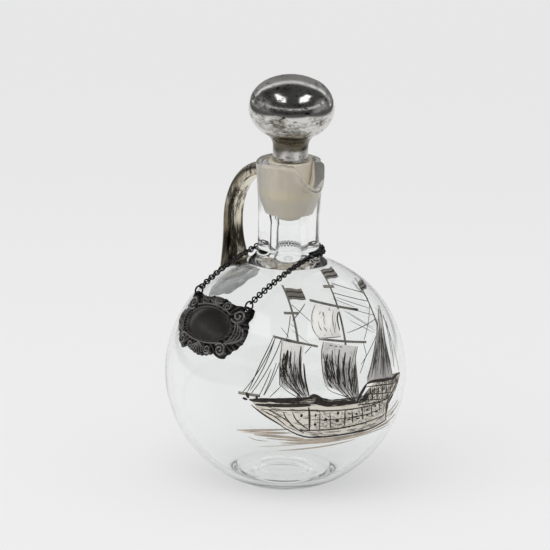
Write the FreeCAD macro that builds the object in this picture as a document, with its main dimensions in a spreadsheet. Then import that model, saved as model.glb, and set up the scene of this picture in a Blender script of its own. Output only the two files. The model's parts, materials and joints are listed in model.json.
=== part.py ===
"""Globe-shaped glass ewer with a ground stopper, a handle, a ship in silver overlay and a hanging label.

Frame: millimetres, +Z up, origin at the middle of the foot's underside. The pouring lip points along +X,
the handle along -X, and the label lies on the shoulder towards -Y.
"""
import FreeCAD
import Part
import Sketcher

import math
import os
import re

from FreeCAD import Placement, Rotation, Vector

# Driving sizes in millimetres and degrees
SIZES = {
    # Globe and foot
    "globe_radius": 62.5,
    "globe_wall": 2.8,
    "foot_radius": 23.0,
    "foot_round": 5.0,
    "kick_radius": 15.5,
    "kick_height": 2.2,
    "floor_thickness": 3.4,
    "floor_crown": 1.2,
    # Neck and ground socket
    "neck_radius": 15.9,
    "neck_length": 50.0,
    "shoulder_radius": 9.0,
    "bore_round": 6.0,
    "rim_radius": 17.8,
    "rim_flare": 30.0,
    "rim_round": 1.8,
    "socket_radius": 11.3,
    "socket_depth": 18.0,
    "socket_drop": 0.9,
    "throat_length": 15.0,
    "bore_radius": 6.8,
    # Pouring lip
    "lip_reach": 22.4,
    "lip_tip_radius": 5.0,
    "lip_wall": 2.0,
    "lip_depth": 17.0,
    "lip_dip": 6.0,
    "lip_dip_radius": 7.0,
    "lip_overhang": 3.0,
    # Stopper
    "plug_clearance": 0.05,
    "plug_length": 31.0,
    "plug_round": 4.6,
    "plug_step": 0.8,
    "plug_tip_gap": 0.4,
    "shank_radius": 9.2,
    "crease_radius": 13.0,
    "flare_radius": 8.0,
    "ball_radius": 22.2,
    "ball_side_radius": 13.8,
    "ball_cap_angle": 51.0,
    "ball_rise": 28.0,
    "silver_skin": 0.3,
    # Handle
    "handle_reach": 46.5,
    "handle_drop": 4.0,
    "handle_bend_height": 32.0,
    "handle_embed": 3.0,
    "crown_thickness": 7.6,
    "crown_width": 9.0,
    "strap_thickness": 6.4,
    "strap_width": 10.0,
    "root_thickness": 12.0,
    "root_width": 17.0,
    "tail_length": 12.0,
    "tail_width": 7.0,
    "tail_thickness": 4.0,
    # Chain and jump rings
    "link_radius": 1.375,
    "link_wire": 0.375,
    "link_pitch": 1.88,
    "link_roll": 45.0,
    "link_play": 0.12,
    "chain_gap": 0.35,
    "chain_seat_angle": 18.0,
    "ring_radius": 2.5,
    "ring_wire": 0.45,
    # Label
    "label_width": 49.0,
    "label_height": 33.0,
    "label_thickness": 1.2,
    "label_border": 6.0,
    "label_border_rise": 1.2,
    "label_gap": 1.0,
    "label_lean": 2.0,
    "label_latitude": 32.0,
    "ear_spacing": 39.0,
    "ear_height": 13.0,
    "ear_radius": 1.9,
    "ear_hole": 1.05,
    "ear_relief": 3.4,
    # Ship overlay, drawn on a plane and laid back along its normal onto the globe
    "ship_azimuth": -16.0,
    "ship_half_angle": 43.0,
    "ship_neck_gap": 0.5,
    "ship_draught_angle": 17.0,
    "ship_foil": 0.15,
    "mast_width": 1.5,
    "yard_width": 1.1,
    "rope_width": 0.5,
    "wave_width": 0.8,
    # Room that cutting shapes reach past what they cut
    "overrun": 4.0,
}

# Heights worked out from the sizes
CENTRE = "sqrt(globe_radius^2 - foot_radius^2)"
RIM = f"({CENTRE} + globe_radius + neck_length)"
SHOULDER = "sqrt((globe_radius + shoulder_radius)^2 - (neck_radius + shoulder_radius)^2)"
HOLLOW = "(globe_radius - globe_wall)"
SOCKET_FOOT = "(socket_radius - socket_drop)"
THROAT_FALL = f"(({SOCKET_FOOT} - bore_radius) / throat_length)"
BALL = f"({RIM} + ball_rise)"

AXIS_X = Vector(1, 0, 0)
AXIS_Y = Vector(0, 1, 0)
AXIS_Z = Vector(0, 0, 1)
FULL_TURN = 360
HALF_TURN = 180
QUARTER_TURN = 90

# Steps by which each stretch of the chain's path is measured
PATH_STEPS = 600

# Handle stations: share of the bend or of the straight leg below it
HANDLE_BEND_SHARES = (0.0, 0.25, 0.5, 0.75, 1.0)
HANDLE_LEG_SHARES = (0.45, 0.8, 1.0)

# Right half of the label's lobed outline, from crest to foot, as shares of its half width and half height
LABEL_OUTLINE_SHARES = (
    (0.00, 0.90), (0.17, 0.88), (0.36, 0.70), (0.56, 0.72), (0.80, 0.92), (0.93, 0.80), (0.92, 0.48),
    (1.00, 0.12), (0.97, -0.28), (0.80, -0.62), (0.62, -0.90), (0.40, -0.84), (0.22, -0.94), (0.00, -1.00),
)

# Ship drawing: across as shares of the half length, up as shares of the mast height, down as shares of the draught
HULL_STEM_SHARES = ((-1.00, 0.02), (-0.86, -0.40), (-0.66, -0.68), (-0.34, -1.00))
HULL_KEEL_SHARES = ((-0.34, -1.00), (0.24, -1.08), (0.74, -0.92))
HULL_STERN_SHARES = ((0.74, -0.92), (0.82, -0.44), (0.95, -0.08), (1.05, 0.10))
HULL_RAIL_SHARES = ((0.90, 0.12), (0.56, 0.13), (0.36, 0.01), (-0.16, 0.01), (-0.25, 0.05), (-0.90, 0.03))
MAST_SHARES = {"fore": (-0.50, -0.38, 0.93), "main": (0.12, 0.20, 1.00), "mizzen": (0.78, 0.68, 0.89)}
MAST_TAPER_SHARE = 0.55
BOWSPRIT_SHARES = ((-0.90, 0.05), (-1.10, 0.06))
YARD_SHARES = (
    ((-0.69, 0.56), (-0.21, 0.48)), ((-0.50, 0.74), (-0.34, 0.74)), ((-0.15, 0.83), (0.47, 0.71)),
    ((-0.18, 0.54), (0.47, 0.46)), ((0.10, 0.91), (0.25, 0.90)),
)
SAIL_SHARES = {
    "fore_course": ((-0.63, 0.53), (-0.31, 0.48), (-0.30, 0.08), (-0.68, 0.13)),
    "main_course": ((-0.13, 0.51), (0.39, 0.44), (0.40, 0.06), (-0.11, 0.06)),
    "main_topsail": ((-0.09, 0.80), (0.25, 0.74), (0.21, 0.54), (-0.17, 0.55)),
    "mizzen_sail": ((0.84, 0.67), (0.89, 0.65), (0.93, 0.15), (0.50, 0.15)),
}
SAIL_BELLY_SHARE = 0.07
PENNANT_SHARES = ((-0.38, 0.91, 0.19, 0.075), (0.20, 1.00, 0.20, 0.055), (0.66, 0.86, 0.16, 0.050))
ROPE_SHARES = (
    ((-1.06, 0.07), (-0.67, 0.55)), ((-0.98, 0.07), (-0.61, 0.54)), ((-0.86, 0.06), (-0.44, 0.72)),
    ((-0.38, 0.80), (-0.16, 0.62)), ((0.20, 0.86), (0.69, 0.74)), ((0.70, 0.72), (0.44, 0.48)),
    ((0.74, 0.60), (0.42, 0.16)), ((0.88, 0.60), (1.02, 0.12)), ((0.24, 0.92), (0.68, 0.80)),
)
WAVE_SHARES = (
    ((-1.08, -0.95), (-0.56, -0.90)), ((-0.62, -1.28), (0.90, -1.08)), ((-0.64, -1.50), (0.30, -1.30)),
    ((0.86, -0.90), (1.07, -0.58)),
)
WAVE_LIFT_SHARE = 0.02

doc = FreeCAD.newDocument("ewer")
sheet = doc.addObject("Spreadsheet::Sheet", "Sizes")
for row, (alias, number) in enumerate(SIZES.items(), start=1):
    sheet.set(f"A{row}", alias)
    sheet.set(f"B{row}", str(number))
    sheet.setAlias(f"B{row}", alias)
doc.recompute()


def linked(formula):
    """The formula with every size named as a cell of the sheet."""
    return re.sub(r"[a-z]+(?:_[a-z]+)*", lambda word: f"Sizes.{word[0]}" if word[0] in SIZES else word[0], formula)


def value(formula):
    """The formula's number with the sheet as it stands."""
    return float(sheet.evalExpression(linked(formula)))


def bind(item, **formulas):
    """Tie properties of an object to formulas in the named sizes."""
    for name, formula in formulas.items():
        item.setExpression(name, linked(formula))
    return item


def shape_object(kind, name, place=None, **formulas):
    """A bound primitive, at a placement if one is given."""
    item = bind(doc.addObject(kind, name), **formulas)
    if place is not None:
        item.Placement = place
    return item


def joined(name, items):
    item = doc.addObject("Part::MultiFuse", name)
    item.Shapes = list(items)
    return item


def removed(name, base, tool):
    item = doc.addObject("Part::Cut", name)
    item.Base = base
    item.Tool = tool
    return item


def shared(name, base, tool):
    item = doc.addObject("Part::Common", name)
    item.Base = base
    item.Tool = tool
    return item


def fixed_shape(name, shape, place=None):
    """A shape worked out in code from the sheet."""
    item = doc.addObject("Part::Feature", name)
    item.Shape = shape
    if place is not None:
        item.Placement = place
    return item


def height(formula):
    return Vector(0, 0, value(formula))


def on_globe(azimuth, latitude):
    """A frame at the globe's centre: its Z leaves the glass at that azimuth and latitude, its X runs level."""
    turn = Rotation(AXIS_Z, azimuth + QUARTER_TURN) * Rotation(AXIS_X, QUARTER_TURN - latitude)
    return Placement(height(CENTRE), turn)


def arc_centre(start, end, radius, side):
    """Centre of the short arc between two points, to the left (1) or right (-1) of the way along it."""
    chord = end - start
    reach = math.sqrt(max(radius ** 2 - (chord.Length / 2) ** 2, 0))
    left = Vector(-chord.y, chord.x, 0).normalize()
    return (start + end) / 2 + left * (reach * side)


def profile(body, name, plane, corners):
    """A closed sketch. A corner is (across, up), or (across, up, radius, side) where an arc leaves it."""
    sketch = body.newObject("Sketcher::SketchObject", name)
    origin = next(item for item in body.Origin.OriginFeatures if item.Role == plane)
    sketch.AttachmentSupport = [(origin, "")]
    sketch.MapMode = "FlatFace"
    points = [Vector(value(corner[0]), value(corner[1]), 0) for corner in corners]
    ends = []
    for index, corner in enumerate(corners):
        start, end = points[index], points[(index + 1) % len(points)]
        if len(corner) == 2:
            edge = sketch.addGeometry(Part.LineSegment(start, end))
            ends.append((edge, 1, 2))
            continue
        radius, side = value(corner[2]), corner[3]
        centre = arc_centre(start, end, radius, side)
        first, last = (start, end) if side > 0 else (end, start)
        angles = [math.atan2(point.y - centre.y, point.x - centre.x) for point in (first, last)]
        edge = sketch.addGeometry(Part.ArcOfCircle(Part.Circle(centre, AXIS_Z, radius), *angles))
        ends.append((edge, 1, 2) if side > 0 else (edge, 2, 1))
        rule = sketch.addConstraint(Sketcher.Constraint("Radius", edge, radius))
        sketch.setExpression(f"Constraints[{rule}]", linked(corner[2]))
    for index, corner in enumerate(corners):
        before, (edge, start, _) = ends[index - 1], ends[index]
        sketch.addConstraint(Sketcher.Constraint("Coincident", before[0], before[2], edge, start))
        for axis, formula, number in (("X", corner[0], points[index].x), ("Y", corner[1], points[index].y)):
            if formula == "0":
                line = -2 if axis == "X" else -1
                sketch.addConstraint(Sketcher.Constraint("PointOnObject", edge, start, line))
                continue
            rule = sketch.addConstraint(Sketcher.Constraint(f"Distance{axis}", -1, 1, edge, start, number))
            sketch.setExpression(f"Constraints[{rule}]", linked(formula))
    return sketch


def turned(name, corners):
    """A body turned about the vertical axis from a closed half section."""
    body = doc.addObject("PartDesign::Body", name)
    sketch = profile(body, f"{name}_section", "XZ_Plane", corners)
    turn = body.newObject("PartDesign::Revolution", f"{name}_turn")
    turn.Profile = sketch
    turn.ReferenceAxis = (sketch, ["V_Axis"])
    turn.Angle = FULL_TURN
    body.Tip = turn
    return body


def vessel_outside():
    """Everything inside the vessel's outer skin, without the lip."""
    reach = "(neck_radius + shoulder_radius)"
    ratio = "globe_radius / (globe_radius + shoulder_radius)"
    edge = f"sqrt((globe_radius - foot_round)^2 - ({CENTRE} - foot_round)^2)"
    spread = "globe_radius / (globe_radius - foot_round)"
    return turned("vessel_outside", [
        ("0", "kick_height", "(kick_radius^2 + kick_height^2) / (2 * kick_height)", -1),
        ("kick_radius", "0"),
        (edge, "0", "foot_round", 1),
        (f"{edge} * {spread}", f"{CENTRE} - ({CENTRE} - foot_round) * {spread}", "globe_radius", 1),
        (f"{reach} * {ratio}", f"{CENTRE} + {SHOULDER} * {ratio}", "shoulder_radius", -1),
        ("neck_radius", f"{CENTRE} + {SHOULDER}"),
        ("neck_radius", f"{RIM} - rim_flare"),
        ("rim_radius", f"{RIM} - rim_round", "rim_round", 1),
        ("rim_radius - rim_round", RIM),
        ("0", RIM),
    ])


def vessel_inside():
    """The hollow of the globe, the bore, its throat and the ground socket, open past the rim."""
    floor = "(kick_height + floor_thickness)"
    floor_radius = f"sqrt({HOLLOW}^2 - ({CENTRE} - {floor})^2)"
    reach = "(bore_radius + bore_round)"
    rise = f"sqrt(({HOLLOW} + bore_round)^2 - {reach}^2)"
    ratio = f"{HOLLOW} / ({HOLLOW} + bore_round)"
    return turned("vessel_inside", [
        ("0", f"{floor} + floor_crown",
         f"({floor_radius}^2 + floor_crown^2) / (2 * floor_crown)", -1),
        (floor_radius, floor, HOLLOW, 1),
        (f"{reach} * {ratio}", f"{CENTRE} + {rise} * {ratio}", "bore_round", -1),
        ("bore_radius", f"{CENTRE} + {rise}"),
        ("bore_radius", f"{RIM} - socket_depth - throat_length"),
        (SOCKET_FOOT, f"{RIM} - socket_depth"),
        ("socket_radius", RIM),
        ("socket_radius", f"{RIM} + overrun"),
        ("0", f"{RIM} + overrun"),
    ])


def teardrop(name, wide, reach, tip):
    """An upright prism round the neck and a smaller circle towards the lip's tip, joined by tangents."""
    across = f"({reach} - {tip})"
    slope = f"(({wide} - {tip}) / {across})"
    rise = f"sqrt(1 - {slope}^2)"
    body = doc.addObject("PartDesign::Body", name)
    sketch = profile(body, f"{name}_outline", "XY_Plane", [
        (f"{wide} * {slope}", f"0 - {wide} * {rise}"),
        (f"{across} + {tip} * {slope}", f"0 - {tip} * {rise}", tip, 1),
        (f"{across} + {tip} * {slope}", f"{tip} * {rise}"),
        (f"{wide} * {slope}", f"{wide} * {rise}", f"{wide}", 1),
        (f"0 - {wide}", "0", f"{wide}", 1),
    ])
    pad = body.newObject("PartDesign::Pad", f"{name}_pad")
    pad.Profile = sketch
    bind(pad, Length="lip_depth + overrun")
    body.Tip = pad
    bind(body, **{"Placement.Base.z": f"{RIM} - lip_depth"})
    return body


def lip(name, wide, reach, tip, low):
    """The part of a teardrop prism that lies within a cone widening towards the rim."""
    cone = shape_object("Part::Cone", f"{name}_cone", Radius1=low, Radius2=f"{reach} + lip_overhang",
                        Height="lip_depth")
    bind(cone, **{"Placement.Base.z": f"{RIM} - lip_depth"})
    return shared(name, teardrop(f"{name}_drop", wide, reach, tip), cone)


def lip_dip():
    """A round-bottomed cut that lowers the rim from the bore to the tip of the lip."""
    run = value("lip_reach - socket_radius")
    fall = value("lip_dip")
    slope = math.degrees(math.atan2(fall, run))
    start = Vector(value("socket_radius"), 0, value(f"{RIM} + lip_dip_radius / cos({slope})"))
    along = Rotation(AXIS_Y, QUARTER_TURN + slope)
    return shape_object("Part::Cylinder", "lip_dip", Placement(start - along.multVec(AXIS_Z) * value("overrun"), along),
                        Radius="lip_dip_radius", Height="lip_reach + overrun")


def glass_body(outside):
    """The vessel: one piece of glass with its pouring lip."""
    beak = lip("lip_outside", "neck_radius", "lip_reach", "lip_tip_radius", "neck_radius")
    tip = "(lip_tip_radius - lip_wall)"
    spout = lip("lip_channel", SOCKET_FOOT, "(lip_reach - lip_wall)", tip, SOCKET_FOOT)
    full = joined("vessel_full", [outside, beak])
    room = joined("vessel_room", [vessel_inside(), spout, lip_dip()])
    return removed("glass_body", full, room)


def handle_stations(skin):
    """Sections of the handle as (centre, way along it, half thickness, half width), from neck to shoulder."""
    start, reach = value("neck_radius"), value("handle_reach - strap_thickness / 2")
    top = value(f"{RIM} - handle_drop - crown_thickness / 2")
    bend = value("handle_bend_height")
    foot = reach - value("(root_thickness - strap_thickness) / 2")
    landing = value(CENTRE) + math.sqrt(value("globe_radius") ** 2 - foot ** 2) - value("handle_embed")
    crown = (value("crown_thickness") / 2, value("crown_width") / 2)
    strap = (value("strap_thickness") / 2, value("strap_width") / 2)
    root = (value("root_thickness") / 2, value("root_width") / 2)

    def blend(near, far, share):
        return [a + (b - a) * share - skin for a, b in zip(near, far)]

    stations = [(Vector(-(start - value("handle_embed")), 0, top), Vector(-1, 0, 0), *blend(crown, crown, 0))]
    for share in HANDLE_BEND_SHARES:
        angle = math.radians(QUARTER_TURN * share)
        centre = Vector(-start - (reach - start) * math.sin(angle), 0, top - bend * (1 - math.cos(angle)))
        way = Vector(-(reach - start) * math.cos(angle), 0, -bend * math.sin(angle)).normalize()
        stations.append((centre, way, *blend(crown, strap, share)))
    elbow = stations[-1][0]
    for share in HANDLE_LEG_SHARES:
        spread = share ** 2
        centre = Vector(elbow.x + (reach - foot) * spread, 0, elbow.z + (landing - elbow.z) * share)
        stations.append((centre, Vector(0, 0, -1), *blend(strap, root, spread)))
    return stations


def handle_form(name, skin):
    """The handle's loop with its drawn-out tail on the neck, shrunk by a skin."""
    sections = []
    for index, (centre, way, half_thickness, half_width) in enumerate(handle_stations(skin)):
        section = doc.addObject("Part::Ellipse", f"{name}_section_{index}")
        wide, thick = max(half_width, half_thickness), min(half_width, half_thickness)
        section.MajorRadius = wide
        section.MinorRadius = thick
        section.Placement = Placement(centre, Rotation(AXIS_Y, AXIS_Y.cross(way) * -1, way, "ZXY"))
        sections.append(section)
    loop = doc.addObject("Part::Loft", f"{name}_loop")
    loop.Sections = sections
    loop.Solid = True
    top = value(f"{RIM} - handle_drop - crown_thickness / 2 - tail_length")
    tail = shape_object("Part::Ellipsoid", f"{name}_tail", Placement(Vector(-value("neck_radius"), 0, top), Rotation()),
                        Radius1=f"tail_length - {skin}", Radius2=f"tail_thickness - {skin}",
                        Radius3=f"tail_width / 2 - {skin}")
    return joined(name, [loop, tail])


def handle(outside):
    """The glass core of the handle and the silver laid over it."""
    skin = value("silver_skin")
    core = handle_form("handle_core_form", skin)
    full = handle_form("handle_full_form", 0)
    skin_form = removed("handle_skin_form", full, core)
    return removed("handle_glass_core", core, outside), removed("handle_silver_overlay", skin_form, outside)


def knob_corners(skin):
    """Half section of the shank and ball, shrunk by a skin, from the foot of the shank to the top."""
    side = f"(ball_side_radius - {skin})"
    inset = "(ball_radius - ball_side_radius)"
    crease = f"({BALL} - sqrt({side}^2 - (crease_radius - {inset})^2))"
    flare = f"(flare_radius + {skin})"
    hub = "(shank_radius + flare_radius)"
    shank_top = f"({crease} - sqrt({flare}^2 - ({hub} - crease_radius)^2))"
    cap_across = f"({inset} + {side} * cos(ball_cap_angle))"
    cap_up = f"({BALL} + {side} * sin(ball_cap_angle))"
    cap = f"({side} + {inset} / cos(ball_cap_angle))"
    top = f"({BALL} - {inset} * tan(ball_cap_angle) + {cap})"
    return [
        (f"shank_radius - {skin}", shank_top, flare, -1),
        ("crease_radius", crease, side, 1),
        (cap_across, cap_up, cap, 1),
        ("0", top),
    ]


def stopper_glass():
    """The ground plug with its narrower tip in the throat, the shank and the solid ball."""
    foot = f"({RIM} - plug_length)"
    low = f"({SOCKET_FOOT} - {THROAT_FALL} * (plug_length - plug_round - socket_depth) - plug_tip_gap)"
    return turned("stopper_glass", [
        ("0", foot),
        (f"{low} - plug_round", foot, "plug_round", 1),
        (low, f"{foot} + plug_round"),
        (low, f"{RIM} - socket_depth - plug_step"),
        (f"{SOCKET_FOOT} - plug_clearance", f"{RIM} - socket_depth"),
        ("socket_radius - plug_clearance", RIM),
        ("shank_radius - silver_skin", RIM),
        *knob_corners("silver_skin"),
    ])


def stopper_silver():
    """Silver over the shank and ball, with the glass taken out of it."""
    full = turned("stopper_full", [("0", RIM), ("shank_radius", RIM), *knob_corners("0")])
    core = turned("stopper_core", [("0", RIM), ("shank_radius - silver_skin", RIM), *knob_corners("silver_skin")])
    return removed("stopper_silver_overlay", full, core)


def label_height_at(across, up, formula):
    """Height over the label's plane of the sphere that follows the globe there."""
    radius = value(formula)
    return math.sqrt(radius ** 2 - across ** 2 - (up - value("label_lean")) ** 2)


def label_frame():
    return on_globe(-QUARTER_TURN, value("label_latitude"))


def ring_centres():
    """Middles of the jump rings, left and right, in the label's frame."""
    across, up = value("ear_spacing / 2"), value("ear_height")
    level = label_height_at(across, up, "globe_radius + label_gap + label_thickness + label_border_rise / 2")
    return [Vector(side * across, up + value("ring_radius"), level) for side in (-1, 1)]


def smooth_face(points):
    """A flat face inside a smooth closed curve."""
    curve = Part.BSplineCurve()
    curve.interpolate(points, PeriodicFlag=True)
    return Part.Face(Part.Wire(curve.toShape()))


def label_plate():
    """The label: a lobed plate that follows the globe, with a raised border and a thin pierced ear at each side."""
    half_width, half_height = value("label_width / 2"), value("label_height / 2")
    right = [Vector(x * half_width, y * half_height, 0) for x, y in LABEL_OUTLINE_SHARES]
    left = [Vector(-point.x, point.y, 0) for point in reversed(right[1:-1])]
    rise = AXIS_Z * value("globe_radius * 2")
    middle = Vector(0, value("label_lean"), 0)
    back, field, front = [Part.makeSphere(value(formula), middle) for formula in (
        "globe_radius + label_gap",
        "globe_radius + label_gap + label_thickness",
        "globe_radius + label_gap + label_thickness + label_border_rise",
    )]
    outline = smooth_face(right + left).extrude(rise)
    cartouche = Part.Ellipse(Vector(), half_width - value("label_border"), half_height - value("label_border"))
    cuts = [Part.Face(Part.Wire(cartouche.toShape())).extrude(rise).cut(field)]
    for centre in ring_centres():
        spot = Vector(centre.x, value("ear_height"), 0)
        ear, relief, hole = [Part.makeCylinder(value(size), rise.Length, spot)
                             for size in ("ear_radius", "ear_relief", "ear_hole")]
        outline = outline.fuse(ear)
        cuts += [relief.common(field), hole]
    plate = outline.common(front.cut(back)).cut(cuts)
    return fixed_shape("label_plate", plate, label_frame())


def jump_rings():
    """The rings in the label's ears, each standing in the plane that the label swings in."""
    frame = label_frame()
    rings = []
    for name, centre in zip(("jump_ring_left", "jump_ring_right"), ring_centres()):
        place = frame * Placement(centre, Rotation(AXIS_Z, AXIS_X))
        rings.append(shape_object("Part::Torus", name, place, Radius1="ring_radius", Radius2="ring_wire"))
    return rings


def chain_path():
    """Steps along the chain as (point, way off the glass), from the right jump ring round the neck to the left one."""
    centre = height(CENTRE)
    reach = value("link_radius") * math.sin(math.radians(value("link_roll"))) + value("link_wire")
    seat = value("shoulder_radius") - reach - value("chain_gap")
    angle = math.radians(value("chain_seat_angle"))
    round_neck = value("neck_radius + shoulder_radius") - seat * math.cos(angle)
    level = value(SHOULDER) - seat * math.sin(angle)
    ring = label_frame().multVec(ring_centres()[1]) - centre
    ring += ring.cross(AXIS_X).normalize() * value("ring_radius")
    side = Vector(round_neck, 0, level)
    off_neck = Vector(math.cos(angle), 0, math.sin(angle))
    low = value("globe_radius") + reach + value("chain_gap")
    turn = math.acos(ring.dot(side) / (ring.Length * side.Length))
    run = []
    for step in range(PATH_STEPS):
        share = step / PATH_STEPS
        way = ring * (math.sin((1 - share) * turn) / ring.Length) + side * (math.sin(share * turn) / side.Length)
        way.normalize()
        line = ring.Length + (side.Length - ring.Length) * share
        dip = min(line, ring.Length) - low
        run.append((way * (line - dip * 4 * share * (1 - share)), way * (1 - share ** 2) + off_neck * share ** 2))
    back = []
    for step in range(PATH_STEPS + 1):
        bearing = Rotation(AXIS_Z, HALF_TURN * step / PATH_STEPS)
        back.append((bearing.multVec(side), bearing.multVec(off_neck)))
    mirrored = [[Vector(-item.x, item.y, item.z) for item in pair] for pair in reversed(run)]
    return [(centre + point, off) for point, off in run + back + mirrored]


def chain():
    """Round links threaded through one another, rolled by turns to either side along the path."""
    path = chain_path()
    lengths = [0.0]
    for (here, _), (there, _) in zip(path, path[1:]):
        lengths.append(lengths[-1] + (there - here).Length)
    hook = value("link_radius - link_wire - ring_wire - link_play")
    span = lengths[-1] - 2 * hook
    gaps = 2 * round(span / value("link_pitch") / 2)
    links = []
    place = 0
    for index in range(gaps + 1):
        wanted = hook + index * span / gaps
        while lengths[place + 1] < wanted:
            place += 1
        (here, off), (there, _) = path[place], path[place + 1]
        way = (there - here).normalize()
        spot = here + way * (wanted - lengths[place])
        off = (off - way * off.dot(way)).normalize()
        roll = value("link_roll") if index % 2 else -value("link_roll")
        turn = Rotation(AXIS_Z, Rotation(way, roll).multVec(off))
        links.append(shape_object("Part::Torus", f"chain_link_{index}", Placement(spot, turn),
                                  Radius1="link_radius", Radius2="link_wire"))
    bundle = doc.addObject("Part::Compound", "neck_chain")
    bundle.Links = links
    print(f"chain: {gaps + 1} links, pitch {span / gaps:.3f} mm, path {lengths[-1]:.1f} mm")
    return bundle


def ship_point(across, up):
    """A point of the drawing. The tallest mast ends under the shoulder, and heights below the water line are
    shares of the draught."""
    radius = value("globe_radius")
    tall = value(f"{SHOULDER} * globe_radius / (globe_radius + shoulder_radius) - ship_neck_gap")
    deep = radius * math.sin(math.radians(value("ship_draught_angle")))
    length = radius * math.sin(math.radians(value("ship_half_angle")))
    return Vector(across * length, up * (tall if up > 0 else deep), 0)


def curve_edge(points):
    curve = Part.BSplineCurve()
    curve.interpolate(points)
    return curve.toShape()


def line_edge(start, end):
    return Part.LineSegment(start, end).toShape()


def flat(edges):
    return Part.Face(Part.Wire(edges))


def stroke(start, end, width, end_width):
    """A straight tapered strip."""
    side = (end - start).cross(AXIS_Z).normalize()
    corners = [start + side * (width / 2), end + side * (end_width / 2), end - side * (end_width / 2),
               start - side * (width / 2)]
    return flat([line_edge(a, b) for a, b in zip(corners, corners[1:] + corners[:1])])


def bowed(start, end, belly):
    """A shallow arc that bows to the left of the way along it."""
    side = Vector(start.y - end.y, end.x - start.x, 0).normalize()
    return Part.Arc(start, (start + end) / 2 + side * belly, end).toShape()


def hull_face():
    stem, keel, stern, rail = [[ship_point(*share) for share in shares] for shares in (
        HULL_STEM_SHARES, HULL_KEEL_SHARES, HULL_STERN_SHARES, HULL_RAIL_SHARES)]
    corners = [stern[-1], *rail, stem[0]]
    edges = [curve_edge(stem), curve_edge(keel), curve_edge(stern)]
    return flat(edges + [line_edge(a, b) for a, b in zip(corners, corners[1:])])


def sail_face(shares):
    corners = [ship_point(*share) for share in shares]
    edges = []
    for here, there in zip(corners, corners[1:] + corners[:1]):
        belly = (there - here).Length * SAIL_BELLY_SHARE
        edges.append(bowed(here, there, -belly if there.y > here.y else belly))
    return flat(edges)


def mast_face(name):
    foot, head, top = MAST_SHARES[name]
    width = value("mast_width")
    return stroke(ship_point(foot, 0), ship_point(head, top), width, width * MAST_TAPER_SHARE)


def yard_faces():
    width = value("yard_width")
    return [stroke(ship_point(*left), ship_point(*right), width, width) for left, right in YARD_SHARES]


def pennant_faces():
    faces = []
    for foot, up, length, depth in PENNANT_SHARES:
        top, low = ship_point(foot, up), ship_point(foot, up - depth)
        fly = Vector(ship_point(length, 0).x, 0, 0)
        wave = (top.y - low.y) * SAIL_BELLY_SHARE
        faces.append(flat([bowed(low, low + fly, -wave), line_edge(low + fly, top + fly),
                           bowed(top + fly, top, -wave), line_edge(top, low)]))
    return faces


def wave_faces():
    width = value("wave_width")
    faces = []
    for left, right in WAVE_SHARES:
        start, end = ship_point(*left), ship_point(*right)
        lift = (end - start).Length * WAVE_LIFT_SHARE
        faces.append(flat([bowed(start, end, -lift), bowed(end, start, lift - width)]))
    return faces


def ship():
    """Islands of silver foil on the globe, none of which covers another."""
    rope = value("rope_width")
    pieces = {"ship_hull": [hull_face()]}
    for name, shares in SAIL_SHARES.items():
        pieces[f"ship_{name}"] = [sail_face(shares)]
    for name in MAST_SHARES:
        pieces[f"ship_{name}_mast"] = [mast_face(name)]
    width = value("mast_width")
    spar = [ship_point(*share) for share in BOWSPRIT_SHARES]
    pieces["ship_bowsprit"] = [stroke(*spar, width, width * MAST_TAPER_SHARE)]
    pieces["ship_yards"] = yard_faces()
    pieces["ship_pennants"] = pennant_faces()
    pieces["ship_rigging"] = [stroke(ship_point(*a), ship_point(*b), rope, rope) for a, b in ROPE_SHARES]
    pieces["ship_sea_lines"] = wave_faces()
    radius = value("globe_radius")
    foil = Part.makeSphere(value("globe_radius + ship_foil")).cut(Part.makeSphere(radius))
    frame = on_globe(value("ship_azimuth"), 0)
    laid = None
    nodes = []
    for name, faces in pieces.items():
        drawn = faces[0] if len(faces) == 1 else faces[0].fuse(faces[1:])
        islands = drawn if laid is None else drawn.cut(laid)
        laid = drawn if laid is None else laid.fuse(drawn)
        prisms = [face.extrude(AXIS_Z * value("globe_radius + overrun")) for face in islands.Faces]
        nodes.append(fixed_shape(name, Part.makeCompound([prism.common(foil) for prism in prisms]), frame))
    return nodes


def settle(nodes):
    """Recompute and make sure that every object came out whole."""
    doc.recompute()
    for item in doc.Objects:
        if any(word in item.State for word in ("Invalid", "Error")):
            raise RuntimeError(f"{item.Label}: {item.State} {item.getStatusString()}")
    for node in nodes:
        if node.Shape.isNull() or not node.Shape.isValid() or not node.Shape.Solids:
            raise RuntimeError(f"{node.Label}: not a valid solid")


def write(nodes):
    os.makedirs("parts", exist_ok=True)
    for node in nodes:
        node.Shape.exportStep(f"parts/{node.Label}.step")
        box = node.Shape.BoundBox
        print(f"{node.Label}: {len(node.Shape.Solids)} solids, {node.Shape.Volume:.2f} mm3, "
              f"z {box.ZMin:.2f} to {box.ZMax:.2f}")


def main():
    outside = vessel_outside()
    nodes = [glass_body(outside), *handle(outside), stopper_glass(), stopper_silver(), label_plate(), *jump_rings(),
             chain(), *ship()]
    settle(nodes)
    write(nodes)
    frame = label_frame()
    for centre in ring_centres():
        print("label hinge through", frame.multVec(centre))
    print("globe centre", value(CENTRE), "rim", value(RIM))


main()
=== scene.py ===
"""Dressed model of a globe-shaped glass ewer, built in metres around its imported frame."""

import json
import math

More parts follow.
